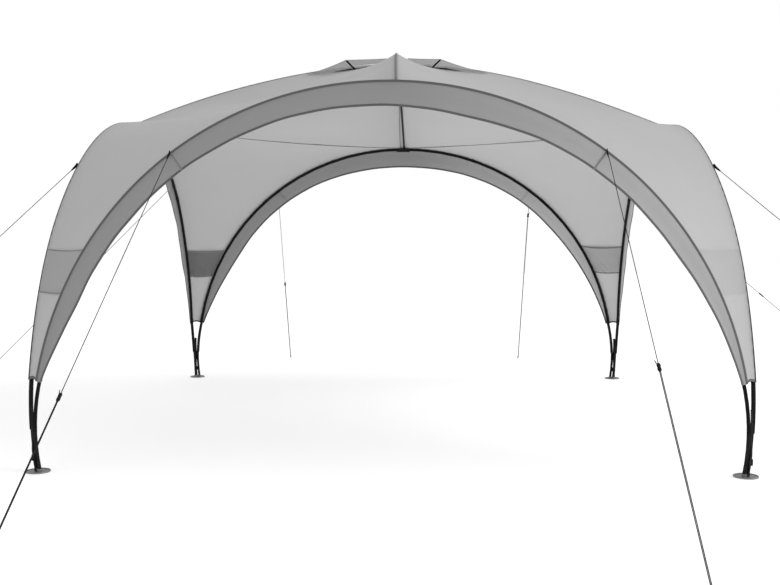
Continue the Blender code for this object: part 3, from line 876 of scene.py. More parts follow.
quarter = bent_grid(QUARTER_COLUMNS, HIP_ROWS + DOME_ROWS, place_roof)
face_out(quarter, Vector((0, 0, 0.8)))
bmesh.ops.remove_doubles(quarter, verts=quarter.verts, dist=1e-5)
bmesh.ops.spin(
    quarter,
    geom=quarter.verts[:] + quarter.edges[:] + quarter.faces[:],
    cent=(0, 0, 0),
    axis=(0, 0, 1),
    angle=math.pi * 1.5,
    steps=3,
    use_duplicate=True,
)
bmesh.ops.remove_doubles(quarter, verts=quarter.verts, dist=1e-4)
follow_ridge(quarter)
bmesh.ops.dissolve_degenerate(quarter, edges=quarter.edges, dist=1e-6)
print("roof faces:", len(quarter.faces))

# %% [markdown]
# Under each vent hood the real roof has a window of black mesh. The window is cut out of the
# sheet with four upright planes: bisect_plane splits the faces along each one, and the faces
# that end up inside are deleted. It leaves straight edges that follow no row of the grid.

# %% Cut the vent windows
WINDOW_CORNERS = [(-0.440, -0.100), (-0.285, -0.225), (-0.190, -0.180), (-0.325, -0.070)]
CUT_REACH = 0.42


def round_trip(corners):
    """Each corner with the next one, back to the first."""
    return zip(corners, corners[1:] + corners[:1])


def inside(point, corners):
    """True where the point lies on the same side of all four edges."""
    sides = []
    for (x1, y1), (x2, y2) in round_trip(corners):
        sides.append((x2 - x1) * (point.y - y1) - (y2 - y1) * (point.x - x1))
    return min(sides) > 0 or max(sides) < 0


def dome_faces():
    """The roof's faces above the arches, each with its middle."""
    pairs = [(face, face.calc_center_median()) for face in quarter.faces]
    return [(face, middle) for face, middle in pairs if middle.z > APEX.z]


VENTS = {
    "front_left": (-1, -1),
    "front_right": (1, -1),
    "back_left": (-1, 1),
    "back_right": (1, 1),
}
for sign_x, sign_y in VENTS.values():
    corners = [over_ridge(Vector((-x * sign_x, -y * sign_y, 0))) for x, y in WINDOW_CORNERS]
    corners = [(x, y) for x, y, _ in corners]
    centre = Vector((sum(x for x, _ in corners) / 4, sum(y for _, y in corners) / 4, 0))
    for first, second in round_trip(corners):
        near = [f for f, m in dome_faces() if (m - centre).to_2d().length < CUT_REACH]
        geometry = set(near)
        for face in near:
            geometry.update(face.edges)
            geometry.update(face.verts)
        bmesh.ops.bisect_plane(
            quarter,
            geom=list(geometry),
            dist=1e-5,
            plane_co=(*first, 0),
            plane_no=(second[1] - first[1], first[0] - second[0], 0),
        )
    gone = [f for f, m in dome_faces() if inside(m, corners)]
    bmesh.ops.delete(quarter, geom=gone, context="FACES")
roof = piece(
    "roof_sheet",
    quarter,
    roof_cloth,
    ["roof_crown"] + [f"roof_corner_{c}" for c in CORNERS],
)
print("roof area in square metres:", round(cloth_area(roof), 2))

# %% [markdown]
# ## Valances
# Along each arch a strip hangs inward from the seam and flares out at its hem. Its cloth is
# painted darker than the roof's, and the back one darker again, as painted shade, and lighter
# towards the tent's right side, as painted light. It is one long grid: u runs along the arch, v
# from the seam to the hem, and a slight curl near the top makes it roll over the pole before it
# hangs. Its hem is bound with tape, and a cross seam marks where each rope pulls.

# %% Shape the valances
VALANCE_DROPS = {"front": 0.118, "back": 0.124, "left": 0.115, "right": 0.115}
VALANCE_EXTRAS_AT_TOP = {"front": 0.012, "back": 0.038, "left": 0.020, "right": 0.020}
VALANCE_FLARES = {"front": 0.055, "back": 0.055, "left": 0.012, "right": 0.012}
VALANCE_LEAST = 0.26
VALANCE_BELLY = 0.021
VALANCE_BELLY_AT = math.radians(75)
VALANCE_BELLY_WIDTH = math.radians(14)
VALANCE_TAPER_ANGLES = {"front": (18, 32), "back": (36, 24), "left": (25, 25), "right": (25, 25)}
VALANCE_ROLL = 0.006
VALANCE_WAVES = ((0.0022, 17, 1.3), (0.0014, 41, 0))
VALANCE_COLUMNS = 220
VALANCE_ROWS = 8
ARCH_MEAN_RADIUS = 1.82
FLARE_STRETCH = 1.1
SEAM_STEPS = 180


def valance_size(side, angle):
    """How far the strip reaches in from the seam, and how far it flares forward."""
    from_hem = min(angle, math.pi - angle) - HEM_ANGLE
    taper_angle = math.radians(VALANCE_TAPER_ANGLES[side][angle < math.pi / 2])
    share = min(1.0, max(0.0, from_hem / taper_angle))
    taper = VALANCE_LEAST + (1 - VALANCE_LEAST) * math.sin(math.pi / 2 * share)
    drop = VALANCE_DROPS[side] * taper + VALANCE_EXTRAS_AT_TOP[side] * math.sin(angle) ** 8
    if side == "front":
        from_belly = (angle - VALANCE_BELLY_AT) / VALANCE_BELLY_WIDTH
        drop += VALANCE_BELLY * math.exp(-(from_belly**2))
    return drop, VALANCE_FLARES[side] * taper


def valance_spot(side, angle, v, lift=0.0):
    """A point of a valance in the front's place, v of the way from seam to hem, lifted off it."""
    drop, flare = valance_size(side, angle)
    inward = Vector((-math.cos(angle), 0, -math.sin(angle)))
    roll = VALANCE_ROLL * math.sin(math.pi * min(1.0, v * 1.6))
    wave = sum(depth * v * math.sin(angle * n + start) for depth, n, start in VALANCE_WAVES)
    fullness = drop / VALANCE_DROPS[side]
    wave *= min(1.0, fullness)
    outward = (FORWARD * drop + inward * -flare).normalized()
    point = seam_spot(angle) + FORWARD * 0.0012 + inward * drop * v + FORWARD * flare * v
    return point + outward * (roll * fullness + wave + lift)


def valance_angle(u):
    return HEM_ANGLE + (math.pi - 2 * HEM_ANGLE) * u


for side, (quarters, _) in SIDES.items():

    def place_valance(u, v):
        angle = valance_angle(u)
        along = (angle - HEM_ANGLE) * ARCH_MEAN_RADIUS
        down = v * valance_size(side, angle)[0] * FLARE_STRETCH
        return valance_spot(side, angle, v), (along, down)

    shape = bent_grid(VALANCE_COLUMNS, VALANCE_ROWS, place_valance)
    face_out(shape, Vector((0, 0, 0.8)))
    turn_shape(shape, quarters)
    finish = back_valance_cloth_painted_shade if side == "back" else valance_cloth
    piece(
        f"{side}_valance_strip", shape, finish, [f"{side}_valance"]
    )

# %% [markdown]
# The hem binding is a tape folded round the cloth's raw edge, so its cut is a thin U. The
# sweep carries that outline along the hem.

# %% Bind the hems
HEM_TAPE_WIDTH = 0.0115
TAPE_THICKNESS = 0.0012
CROSS_SEAM_WIDTH = 0.010
THIN_TAPE = 0.0010
GUY_ALONG_ARCH = 1.095
GUY_ANGLE = math.acos((GUY_ALONG_ARCH / (ARCH_HALF_WIDTH + SEAM_OUT)) ** (1 / ARCH_POWER))


def folded_tape(width, thickness):
    """The cut of a tape folded round an edge, where side points off the edge."""
    t = thickness
    return [(-width, t), (-0.3 * t, t), (t, 0.6 * t), (t, -0.6 * t), (-0.3 * t, -t), (-width, -t)]


for side, (quarters, _) in SIDES.items():
    line = []
    for angle in map(valance_angle, steps(SEAM_STEPS)):
        edge = valance_spot(side, angle, 1.0)
        off = (edge - valance_spot(side, angle, 0.8)).normalized()
        tangent = valance_spot(side, angle + 0.01, 1.0) - valance_spot(side, angle - 0.01, 1.0)
        line.append((edge, off, off.cross(tangent).normalized()))
    shape = turn_shape(sweep(folded_tape(HEM_TAPE_WIDTH, TAPE_THICKNESS), line), quarters)
    piece(f"{side}_valance_hem", shape, hem_tape)

    strips = []
    for angle in (GUY_ANGLE, math.pi - GUY_ANGLE):
        points = [valance_spot(side, angle, v, 0.0006) for v in steps(12)]
        outward = valance_spot(side, angle, 0.5, 0.01) - valance_spot(side, angle, 0.5)
        strips.append(tape(points, CROSS_SEAM_WIDTH, THIN_TAPE, outward))
    shape = turn_shape(gather(strips), quarters)
    name = f"{side}_valance_cross_seams"
    piece(name, shape, seam_tape)

# %% [markdown]
# ## Seams of the roof
# Where the roof meets a valance, a dark tape covers the join along the whole arch; it stands for
# the seam and also for the shadow under the roof's edge along the arch, so it is partly painted
# shade. Thinner tapes run along the diamond between the dome and its corners, and along the two
# ridges. Every tape lies a hair above the cloth, outside and inside, because the real seams are
# sewn through and show on both faces; inside, the dark arch tape also darkens the arch as painted
# shade.

# %% Sew the tapes
ARCH_TAPE_WIDTH = 0.014
ARCH_TAPE_THICKNESS = 0.0016
TAPE_MIDDLE = 0.050
DIAMOND_TAPE_WIDTH = 0.009
SEAM_END = 0.012
BACK_SEAM_ASIDE = 0.033
RIDGE_TAPE_WIDTHS = {0.0010: 0.0045, -0.0010: 0.0125}


def arch_seam_and_shade_tape(side, lift):
    """A tape just off a valance's outer face, or off its inner one where lift is below 0."""
    line = []
    for angle in map(valance_angle, steps(SEAM_STEPS)):
        outward = valance_spot(side, angle, 0.1, lift) - valance_spot(side, angle, 0.1)
        outward.normalize()
        middle = valance_spot(side, angle, TAPE_MIDDLE)
        line.append((middle + outward * abs(lift), outward))
    return laid_tape(line, ARCH_TAPE_WIDTH, ARCH_TAPE_THICKNESS)


def diamond_tape(lift):
    line = []
    for share in steps(60):
        across = SEAM_END + (1 - 2 * SEAM_END) * share
        normal = surface_normal(dome_spot, across, 1.0)
        line.append((dome_spot(across, 1.0) + normal * lift, math.copysign(1, lift) * normal))
    return laid_tape(line, DIAMOND_TAPE_WIDTH, THIN_TAPE)


def ridge_tape(quarters, lift):
    points = []
    for share in steps(40):
        y = SEAM_END + (ROOF_HALF - 2 * SEAM_END) * share
        x = BACK_SEAM_ASIDE * smooth_step(0.3, ROOF_HALF, y) if quarters == 2 else 0
        points.append(Vector((x, -y, roof_height(x, y) + lift)))
    return tape(points, RIDGE_TAPE_WIDTHS[lift], THIN_TAPE, UP * lift)


for side, (quarters, _) in SIDES.items():
    # Painted shade: the dark arch tapes, outside and inside, are partly the real seam and partly
    # the shadow along the arch.
    tapes = [turn_shape(arch_seam_and_shade_tape(side, lift), quarters) for lift in (0.0008, -0.0008)]
    piece(f"{side}_arch_seam_tape_and_painted_shade", gather(tapes), hem_tape)

diamond_tapes = []
ridge_tapes = []
for quarters in range(4):
    for lift in RIDGE_TAPE_WIDTHS:
        diamond_tapes.append(turn_shape(diamond_tape(lift), quarters))
        ridge_tapes.append(turn_shape(ridge_tape(quarters, lift), quarters))
piece("diamond_seam_tapes", follow_ridge(gather(diamond_tapes)), seam_tape)
piece("ridge_seam_tapes", follow_ridge(gather(ridge_tapes)), seam_tape)
print("tapes sewn:", len(SIDES) + 2)

# %% [markdown]
# The four lower corners end in a shallow scallop between the legs. They are bound like the
# valances, with the folded tape carried along their edge.

# %% Bind the lower corners
CORNER_TAPE_WIDTH = 0.012
CORNER_TAPE_THICKNESS = 0.0014

corner_hems = []
for quarters in range(4):
    line = []
    for u in steps(24):
        scallop = UP * (HEM_SCALLOP * 4 * u * (1 - u))
        edge = hip_spot(u, HEM_ANGLE) + scallop
        off = (edge - hip_spot(u, HEM_ANGLE + 0.02) - scallop).normalized()
        tangent = hip_spot(min(1, u + 0.02), HEM_ANGLE) - hip_spot(max(0, u - 0.02), HEM_ANGLE)
        line.append((edge, off, off.cross(tangent).normalized()))
    shape = sweep(folded_tape(CORNER_TAPE_WIDTH, CORNER_TAPE_THICKNESS), line)
    corner_hems.append(turn_shape(shape, quarters))
piece("corner_hem_tapes", gather(corner_hems), hem_tape)
print("corners bound:", len(corner_hems))

# %% [markdown]
# ## Pockets
# Inside each corner a pocket is sewn across, from arch to arch. Light that passes the roof
# cloth is stopped by the pocket, which is why the band looks dark from inside and a little
# darker from outside. The pocket hangs a little inside the roof and has slanted creases, with a
# tape along its mouth and its foot. Thinner tapes on the roof's outside show where it is sewn
# on, but for the front right corner, where the photo shows none.

# %% Sew the pockets
POCKET_COLUMNS = 44
POCKET_ROWS = 22
POCKET_HEIGHT = 0.22
POCKET_MAP = (0.5, 0.23)
POCKET_EDGE = 0.03
POCKET_OFF = 0.004
POCKET_SAG = 0.014
POCKET_FOLDS = (0.42, 0.62, 0.92)
FOLD_SLANT = 1.5
FOLD_DEPTH = 0.007
FOLD_WIDTH = 0.07
CRUMPLE_DEPTH = 0.003
POCKET_TAPE = (0.010, 0.0012)
OUTER_TAPE = (0.005, 0.0008)
OUTER_LIFT = Vector((-1, -1, 0.2)).normalized() * 0.0012
# The height of each one's foot, its tone and the share of light that comes through; the tones,
# lighter at the right-hand corners and darkest at the back left, are painted light and shade
POCKETS = {
    "front_left": (0.92, 0.36, 0.40),
    "front_right": (0.92, 0.60, 0.85),
    "back_right": (0.92, 0.50, 0.40),
    "back_left": (0.885, 0.20, 0.40),
}


def pocket_spot(bottom, u, v, lift=0.0):
    """A pocket in the front left's place: v from its foot to its mouth."""
    angle = arch_angle(bottom + POCKET_HEIGHT * v)
    across = POCKET_EDGE + (1 - 2 * POCKET_EDGE) * u
    normal = surface_normal(hip_spot, across, angle)
    if normal.dot(OUTWARD) < 0:
        normal = -normal
    sag = POCKET_OFF + POCKET_SAG * math.sin(math.pi * u) * (0.35 + 0.65 * v)
    slant = v + FOLD_SLANT * u
    crease = sum(
        FOLD_DEPTH * math.exp(-(((slant - at) / FOLD_WIDTH) ** 2)) for at in POCKET_FOLDS
    )
    crease *= math.sin(math.pi * min(1.0, 0.12 + u)) * (1 - 0.6 * v)
    crease += CRUMPLE_DEPTH * noise.noise(Vector((u * 7, v * 4, 2.0)))
    return hip_spot(across, angle) - normal * (sag + crease + lift)


for corner, (bottom, tone, through) in POCKETS.items():
    quarters = CORNERS[corner]
    shape = bent_grid(
        POCKET_COLUMNS,
        POCKET_ROWS,
        lambda u, v: (pocket_spot(bottom, u, v), (u * POCKET_MAP[0], v * POCKET_MAP[1])),
    )
    turn_shape(face_out(shape, Vector((0, 0, 1.0))), quarters)
    # Painted light and shade: each corner gets its own copy of the pocket cloth, lighter on the
    # right.
    finish = cloth_finish(f"pocket_cloth_painted_light_{corner}", tone, through)
    piece(f"corner_pocket_{corner}", shape, finish)
    tapes = []
    for v in (0.0, 1.0):
        points = [pocket_spot(bottom, u, v, 0.001) for u in steps(30)]
        tapes.append(tape(points, *POCKET_TAPE, -OUTWARD))
        if corner == "front_right":
            continue
        angle = arch_angle(bottom + POCKET_HEIGHT * v)
        points = [hip_spot(0.01 + 0.98 * u, angle) + OUTER_LIFT for u in steps(30)]
        tapes.append(tape(points, *OUTER_TAPE, OUTWARD))
    piece(f"pocket_tapes_{corner}", turn_shape(gather(tapes), quarters), seam_tape)

# %% [markdown]
# ## Vent hoods
# Four flaps are sewn over the mesh windows near the top. A short stiff strut props each one
# open in front, so its front edge is a low peak while its back edge lies on the roof. The
# window itself is a separate sheet of mesh, laid just above the hole.

# %% Shape the hoods
# Plan corners of the front left hood: on its free edge, and behind it near the crests
HOOD_OUTER = (Vector((-0.610, -0.035)), Vector((-0.560, -0.012)))
HOOD_MIDDLE = (Vector((-0.311, -0.250)), Vector((-0.050, -0.020)))
HOOD_INNER = (Vector((-0.070, -0.245)), Vector((-0.025, -0.190)))
HOOD_PEAK_SHIFT = -0.022
HOOD_LIFT = 0.069
HOOD_INNER_LIFT = 0.015
HOOD_CLEARANCE = 0.005
HOOD_HOLLOW = 0.006
HOOD_MAP = (0.47, 0.58)
WINDOW_MAP = (0.20, 0.12)
VENT_TAPE_WIDTH = 0.008
STRUT_RUN = Vector((0.055, 0.02, 0))
ABOVE_FRONT = Vector((-0.25, -0.6, 1.5))


def bent_edge(first, middle, last, u):
    """A point of a two-legged line from first through middle to last."""
    return first.lerp(middle, 2 * u) if u < 0.5 else middle.lerp(last, 2 * u - 1)


def hood_spot(u, v, sign_x, lift=0.0):
    """A hood in the front left's place: u along its edges, v from the free one to the crests."""
    front = bent_edge(HOOD_OUTER[0], HOOD_MIDDLE[0], HOOD_INNER[0], u)
    back = bent_edge(HOOD_OUTER[1], HOOD_MIDDLE[1], HOOD_INNER[1], u)
    x, y = front.lerp(back, v)
    peak = 1 - abs(2 * u - 1)
    front_z = roof_height(*front) + HOOD_CLEARANCE + HOOD_LIFT * peak
    if u > 0.5:
        front_z += HOOD_INNER_LIFT * (1 - peak)
    back_z = roof_height(*back) + HOOD_CLEARANCE
    z = front_z + (back_z - front_z) * v - HOOD_HOLLOW * math.sin(math.pi * v) * peak
    z = max(z, roof_height(x, y) + HOOD_CLEARANCE)
    return Vector((x - sign_x * HOOD_PEAK_SHIFT * peak, y, z + lift))


def window_spot(u, v):
    a, b, c, d = (Vector(p) for p in WINDOW_CORNERS)
    x, y = a.lerp(b, u).lerp(d.lerp(c, u), v)
    return Vector((x, y, roof_height(x, y) + 0.0010))


print("a hood's front edge rises to", round(hood_spot(0.5, 0, 1).z, 3))

# %% [markdown]
# The front left hood is mirrored into the other three quarters. Mirroring turns a surface inside
# out, so its faces are reversed where only one direction is mirrored. Each hood gets a tape on
# its free edge, and each window one round its rim.

# %% Place the hoods and windows


def mirror_shape(shape, sign_x, sign_y):
    """Mirrors the front left shape into another quarter and keeps its faces pointing out."""
    bmesh.ops.scale(shape, verts=shape.verts, vec=(-sign_x, -sign_y, 1))
    follow_ridge(shape)
    if sign_x * sign_y < 0:
        bmesh.ops.reverse_faces(shape, faces=shape.faces)
    return shape


struts = []
hood_tapes = []
window_tapes = []
for vent, (sign_x, sign_y) in VENTS.items():

    def placed(shape):
        return mirror_shape(shape, sign_x, sign_y)

    shape = bent_grid(
        30, 20, lambda u, v: (hood_spot(u, v, sign_x), (u * HOOD_MAP[0], v * HOOD_MAP[1]))
    )
    shape = placed(face_out(shape, ABOVE_FRONT))
    piece(
        f"vent_flap_{vent}", shape, flap_cloth_painted_light, [f"vent_hood_{vent}"]
    )
    shape = bent_grid(
        16, 16, lambda u, v: (window_spot(u, v), (u * WINDOW_MAP[0], v * WINDOW_MAP[1]))
    )
    shape = placed(face_out(shape, ABOVE_FRONT))
    piece(f"vent_window_{vent}", shape, window_mesh)

    edge = [hood_spot(u, 0.0, sign_x) for u in steps(40)]
    hood_tapes.append(placed(tape(edge, VENT_TAPE_WIDTH, 0.0014, Vector((0, -0.3, 1)))))
    rim = []
    for first, second in round_trip(WINDOW_CORNERS):
        for share in steps(8)[:-1]:
            x, y = Vector(first).lerp(Vector(second), share)
            rim.append(Vector((x, y, roof_height(x, y) + 0.0016)))
    rim.append(rim[0])
    window_tapes.append(placed(tape(rim, VENT_TAPE_WIDTH, THIN_TAPE, UP)))
    top = hood_spot(0.5, 0.01, sign_x, -0.003)
    foot = top + STRUT_RUN
    foot.z = roof_height(foot.x, foot.y) + 0.001
    points = [foot.lerp(top, share) for share in steps(6)]
    struts.append(placed(tape(points, 0.011, 0.003, Vector((0, -1, 0.2)))))
piece("vent_flap_edges", gather(hood_tapes), seam_tape)
piece("vent_window_tapes", gather(window_tapes), roof_cloth)
piece("vent_struts", gather(struts), webbing)

# %% [markdown]
# ## Poles, joints and clips
# The poles keep the solids of the frame and only get their finish. Each arch comes apart
# into sections, so swaged sleeves are added where they join: a ring profile is swept along
# the pole, with a groove round its middle and tapered ends.

# %% Add the sleeves at the joints
SLEEVE_LENGTH = 0.050
SLEEVE_RADIUS = 0.0118
SLEEVE_PLACES = (0.61, 1.20)
SLEEVE_OUTLINE = (
    (-0.5, 0.86), (-0.46, 1.0), (-0.1, 1.0), (0.0, 0.93), (0.1, 1.0), (0.46, 1.0), (0.5, 0.86)
)


def pole_angle(x):
    return math.acos((x / ARCH_HALF_WIDTH) ** (1 / ARCH_POWER))


SLEEVE_ANGLES = [pole_angle(x) for x in SLEEVE_PLACES] + [arch_angle(LEG_TOP_HEIGHT)]


def sleeve(angle):
    middle = arch_spot(angle)
    tangent = (arch_spot(angle + 0.01) - arch_spot(angle - 0.01)).normalized()
    side = tangent.cross(-FORWARD).normalized()
    above = side.cross(tangent)
    line = []
    for share, size in SLEEVE_OUTLINE:
        line.append((middle + tangent * SLEEVE_LENGTH * share, side * size, above * size))
    return sweep(ring(SLEEVE_RADIUS, 16), line)


for side, (quarters, _) in SIDES.items():
    rings = []
    for angle in SLEEVE_ANGLES:
        rings += [sleeve(angle), sleeve(math.pi - angle)]
    piece(f"{side}_arch_sleeves", turn_shape(gather(rings), quarters), pole_steel)
print("sleeves on each arch:", 2 * len(SLEEVE_ANGLES))

# %% [markdown]
# ## Corner webbing
# A strap rises from each foot between the two legs, with a buckle near the ground that pulls
# the whole cloth tight. Two slightly narrower straps lie flat against the legs and carry the
# pull on from there to the hem.

# %% Thread the webbing
LEG_BOW = (1.813, 1.840, 0.25)
LEG_FOOT = (1.800, 1.825)
LEG_STRAIGHT_END = 0.022
PLATE_THICKNESS = 0.004
STRAP_AWAY = 0.015
STRAP_CLOSER = 0.009
STRAP_FOOT = 0.006
STRAP_FORK = 0.345
SIDE_STRAP_FOOT = 0.22
STRAP_TOP = HEM_HEIGHT + 0.008
STRAP_BAND = (0.020, 0.0018)
SIDE_STRAP_BAND = (0.018, 0.0016)


def leg_spot(height):
    """The centre line of the front arch's left leg."""
    spots = [
        Vector((-LEG_FOOT[0], -LEG_FOOT[1], LEG_STRAIGHT_END)),
        Vector((-LEG_BOW[0], -LEG_BOW[1], LEG_BOW[2])),
        arch_spot(math.pi - arch_angle(LEG_TOP_HEIGHT)),
    ]
    point = Vector()
    for this in spots:
        others = [other for other in spots if other is not this]
        point += this * math.prod((height - o.z) / (this.z - o.z) for o in others)
    return point


def strap_spot(height, away):
    leg = leg_spot(max(height, LEG_STRAIGHT_END))
    out = (-leg.x - leg.y) / 2 + away / math.sqrt(2)
    return Vector((-out, -out, height))


def corner_webbing():
    """Front left: the middle strap, and two side straps flat against the legs, as bmeshes."""
    points = []
    for share in steps(30):
        z = STRAP_FOOT + (STRAP_FORK - STRAP_FOOT) * share
        points.append(strap_spot(z, STRAP_AWAY - STRAP_CLOSER * smooth_step(0.10, 0.20, z)))
    made = [tape(points, *STRAP_BAND, OUTWARD)]
    for swap in (False, True):
        points = []
        for share in steps(20):
            z = SIDE_STRAP_FOOT + (STRAP_TOP - SIDE_STRAP_FOOT) * share
            x, y, z = leg_spot(z) + Vector((0.003, -POLE_RADIUS - 0.0008, 0))
            points.append(Vector((y, x, z) if swap else (x, y, z)))
        made.append(tape(points, *SIDE_STRAP_BAND, Vector((-1, 0, 0)) if swap else FORWARD))
    return made


print("middle strap in metres:", round(STRAP_FORK - STRAP_FOOT, 3))

# %% [markdown]
# The buckle is a ladder of five small blocks with bevelled edges. It sits on the middle strap
# near the ground, where a hand can pull the webbing through it.

# %% Add the buckles
BUCKLE_MIDDLE = 0.078
BUCKLE_BARS = (-0.016, -0.003, 0.012)
BUCKLE_HALF_WIDTH = 0.0125


def buckle():
    """A ladder buckle: a frame with three bars that the webbing is threaded through."""
    middle = strap_spot(BUCKLE_MIDDLE, STRAP_AWAY) + OUTWARD * 0.002
    across = Vector((1, -1, 0)).normalized()
    shape = bmesh.new()
    shape.loops.layers.uv.new(UV_NAME)
    parts = [((0, 0, z), (0.028, 0.006, 0.0042)) for z in BUCKLE_BARS]
    for x in (-BUCKLE_HALF_WIDTH, BUCKLE_HALF_WIDTH):
        parts.append(((x, 0, -0.002), (0.0042, 0.0065, 0.032)))
    for place_at, size in parts:
        made = bmesh.ops.create_cube(shape, size=1)["verts"]
        for vert in made:
            local = [c * s for c, s in zip(vert.co, size)]
            x, y, z = Vector(place_at) + Vector(local)
            vert.co = middle + across * x + OUTWARD * y + UP * z
    bmesh.ops.bevel(
        shape, geom=shape.edges[:], offset=0.0009, segments=2, profile=0.5, affect="EDGES"
    )
    return shape


for corner, quarters in CORNERS.items():
    piece(
        f"corner_webbing_{corner}",
        turn_shape(gather(corner_webbing()), quarters),
        webbing,
        [f"corner_strap_{corner}"],
    )
    shape = turn_shape(buckle(), quarters)
    piece(f"corner_buckle_{corner}", shape, black_plastic)
print("straps and buckles placed")

# %% [markdown]
# ## Foot plates
# Each plate is a round galvanised disc with a rolled rim. The disc, its collars and peg holes
# are in the frame. The rim is a thin ring swept round its edge.

# %% Roll the rims
PLATE_RADIUS = 0.0625
RIM_RADIUS = 0.0022
plate_middle = -(LEG_FOOT[0] + LEG_FOOT[1]) / 2
for corner, quarters in CORNERS.items():
    centre = Vector((plate_middle, plate_middle, PLATE_THICKNESS + 0.0012))
    line = []
    for share in steps(48):
        t = 2 * math.pi * share
        spoke = Vector((math.cos(t), math.sin(t), 0))
        line.append((centre + spoke * (PLATE_RADIUS - RIM_RADIUS), spoke, UP))
    shape = sweep(ring(RIM_RADIUS, 8), line, ends=False)
    bmesh.ops.remove_doubles(shape, verts=shape.verts, dist=1e-5)
    piece(f"foot_rim_{corner}", turn_shape(shape, quarters), plate_steel)
print("rims rolled")

# %% [markdown]
# ## Guy ropes
# Eight ropes hold the tent, two to a side. Each leaves a short webbing tab at the seam as a
# single thin cord, passes a slider, and comes back doubled from its peg. They are taut, so
# they are straight, and two points give each its whole line.

# %% Find the ropes' ends
GUY_RAISE = 0.004
ROPE_END_HEIGHT = 0.022
ROPE_TO_PEG = 0.009
GROUND_POINTS = {
    ("front", "left"): (-1.336, -3.609),
    ("front", "right"): (1.137, -3.633),
    ("right", "front"): (3.537, -1.779),
    ("right", "back"): (3.615, 0.666),
    ("back", "right"): (1.123, 3.155),
    ("back", "left"): (-1.172, 3.173),
    ("left", "back"): (-3.357, 0.646),
    ("left", "front"): (-3.345, -1.799),
}


def rope_ends(side, end, sign):
    """Where a rope starts at the seam, where it meets its peg, and its ground point."""
    seam = seam_spot(GUY_ANGLE if sign > 0 else math.pi - GUY_ANGLE)
    start = settled(quarter_turn(SIDES[side][0]) @ seam) + UP * GUY_RAISE
    ground = Vector((*GROUND_POINTS[side, end], 0))
    back = start - ground
    flat_back = Vector((back.x, back.y, 0)).normalized()
    return start, ground + UP * ROPE_END_HEIGHT + flat_back * ROPE_TO_PEG, ground


start, finish, _ = rope_ends("front", "left", -1)
print("front left rope in metres:", round((finish - start).length, 2))

# %% [markdown]
# The cord is a ring swept along the line. Below the slider it goes down to the peg, round it and
# back beside itself, and a short tail sticks out above the slider.

# %% Stretch the ropes
TAB_OUTLINE = ((0.004, 1.5), (0.012, 1.4), (0.026, 1.0), (0.044, 0.8), (0.060, 0.45))
TAB_BAND = (0.014, 0.0035)
CORD_START = 0.056
SLIDER_AT = 0.52
SLIDER_ELSEWHERE = {("front", "left"): 0.65, ("front", "right"): 0.58, ("back", "right"): 0.13}
SLIDER_LENGTH = 0.040
SLIDER_RADIUS = 0.0090
ROPE_RADIUS = 0.0019
ROPE_APART = 0.0022
TAIL = ((0.006, 0.004), (0.0, 0.007), (-0.008, 0.010), (-0.016, 0.011))
PEG_LOOP = 0.03
PEG_RADIUS = 0.003
SLIDER_OUTLINE = (
    (0, 0.55), (0.08, 0.85), (0.25, 1), (0.5, 0.82), (0.75, 1), (0.92, 0.85), (1, 0.55)
)


def cord(points, facing):
    return sweep(ring(ROPE_RADIUS, 8), stations(points, facing))


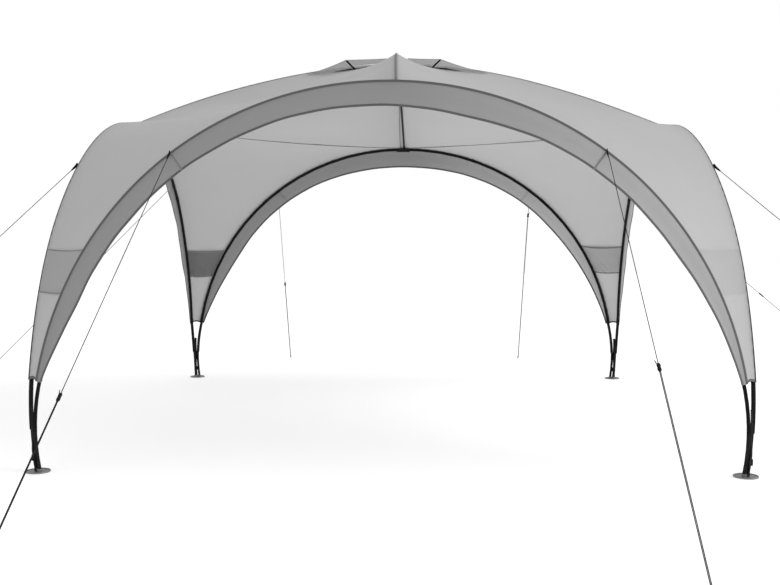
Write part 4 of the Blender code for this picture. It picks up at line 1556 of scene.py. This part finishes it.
def rope_pieces(side, end, sign):
    """A rope's cords, its webbing tab, and the two ends of its slider with the way across."""
    start, finish, ground = rope_ends(side, end, sign)
    along = (finish - start).normalized()
    length = (finish - start).length
    across = along.cross(UP).normalized()
    slider = length * SLIDER_ELSEWHERE.get((side, end), SLIDER_AT)

    def at(distance, aside=0.0):
        return start + along * distance + across * aside

    single = slider + 0.02 - CORD_START
    upper = [at(CORD_START + single * share) for share in steps(24)]
    run = length - PEG_LOOP - slider
    doubled = [slider + 0.004] + [slider + run * share for share in steps(24)[1:]]
    loop = [at(distance, -ROPE_APART) for distance in doubled]
    peg_at = ground + UP * ROPE_END_HEIGHT
    spread = PEG_RADIUS + ROPE_RADIUS + 0.0004
    for share in steps(8):
        t = math.pi * share
        loop.append(peg_at - across * spread * math.cos(t) + along * spread * math.sin(t))
    loop += [at(distance, ROPE_APART) for distance in reversed(doubled)]
    tail = [at(slider + distance, aside) for distance, aside in TAIL]
    cords = [cord(upper, across), cord(loop, UP), cord(tail, UP)]

    tab = stations([at(distance) for distance, _ in TAB_OUTLINE], across)
    tab = [(p, s * size, u) for (p, s, u), (_, size) in zip(tab, TAB_OUTLINE)]
    tab = sweep(flat_band(*TAB_BAND), tab)
    return cords, tab, (at(slider), at(slider + SLIDER_LENGTH), across)


def slider_body(first, last, across):
    """A flat three-hole slider with rounded ends."""
    above = across.cross((last - first).normalized())
    line = []
    for share, size in SLIDER_OUTLINE:
        line.append((first.lerp(last, share), across * size, above * (0.6 + 0.4 * size)))
    return sweep(ring(SLIDER_RADIUS, 14, 0.6), line)


for side, (quarters, ends) in SIDES.items():
    for end, sign in zip(ends, (-1, 1)):
        rope = f"{side}_{end}"
        cords, tab, slider_ends = rope_pieces(side, end, sign)
        both = gather(cords)
        piece(f"guy_cord_{rope}", both, guy_cord, [f"guy_rope_{rope}"], sinks=False)
        piece(f"guy_tab_{rope}", tab, webbing, sinks=False)
        body = slider_body(*slider_ends)
        piece(f"guy_slider_{rope}", body, black_plastic, sinks=False)
print("ropes stretched:", len(GROUND_POINTS))

# %% [markdown]
# ## Finish the frame's own parts
# The poles, brackets, plates and pegs come from the frame as they are. A part that keeps its
# solid gets its finish by putting the new material in the place of the old one, slot by slot.

# %% Give the frame its finishes
FINISHES = {
    "pole_steel": pole_steel,
    "roof_pole_glassfibre": roof_pole_glassfibre,
    "plate_steel": plate_steel,
    "black_plastic": black_plastic,
    "peg_steel": peg_steel,
}
slots = {row["node"]: row["material_slot"] for row in frame["record"]["subparts"]}
for name, node in nodes.items():
    finish = FINISHES.get(slots[name])
    if finish is None:
        continue
    node.data.materials.clear()
    node.data.materials.append(finish)
print("frame parts with a finish:", sum(slots[n] in FINISHES for n in nodes))

# %% [markdown]
# ## Count the sheets of cloth
# The roof is a star of five sewn panels, so its flat area is much less than the square it would
# be cut from. The count below takes the roof, four valances, four pockets, and a hood and a
# window at each vent.

for side in SIDES:
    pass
print("sheets:", 1 + len(SIDES) + len(CORNERS) + 2 * len(VENTS))
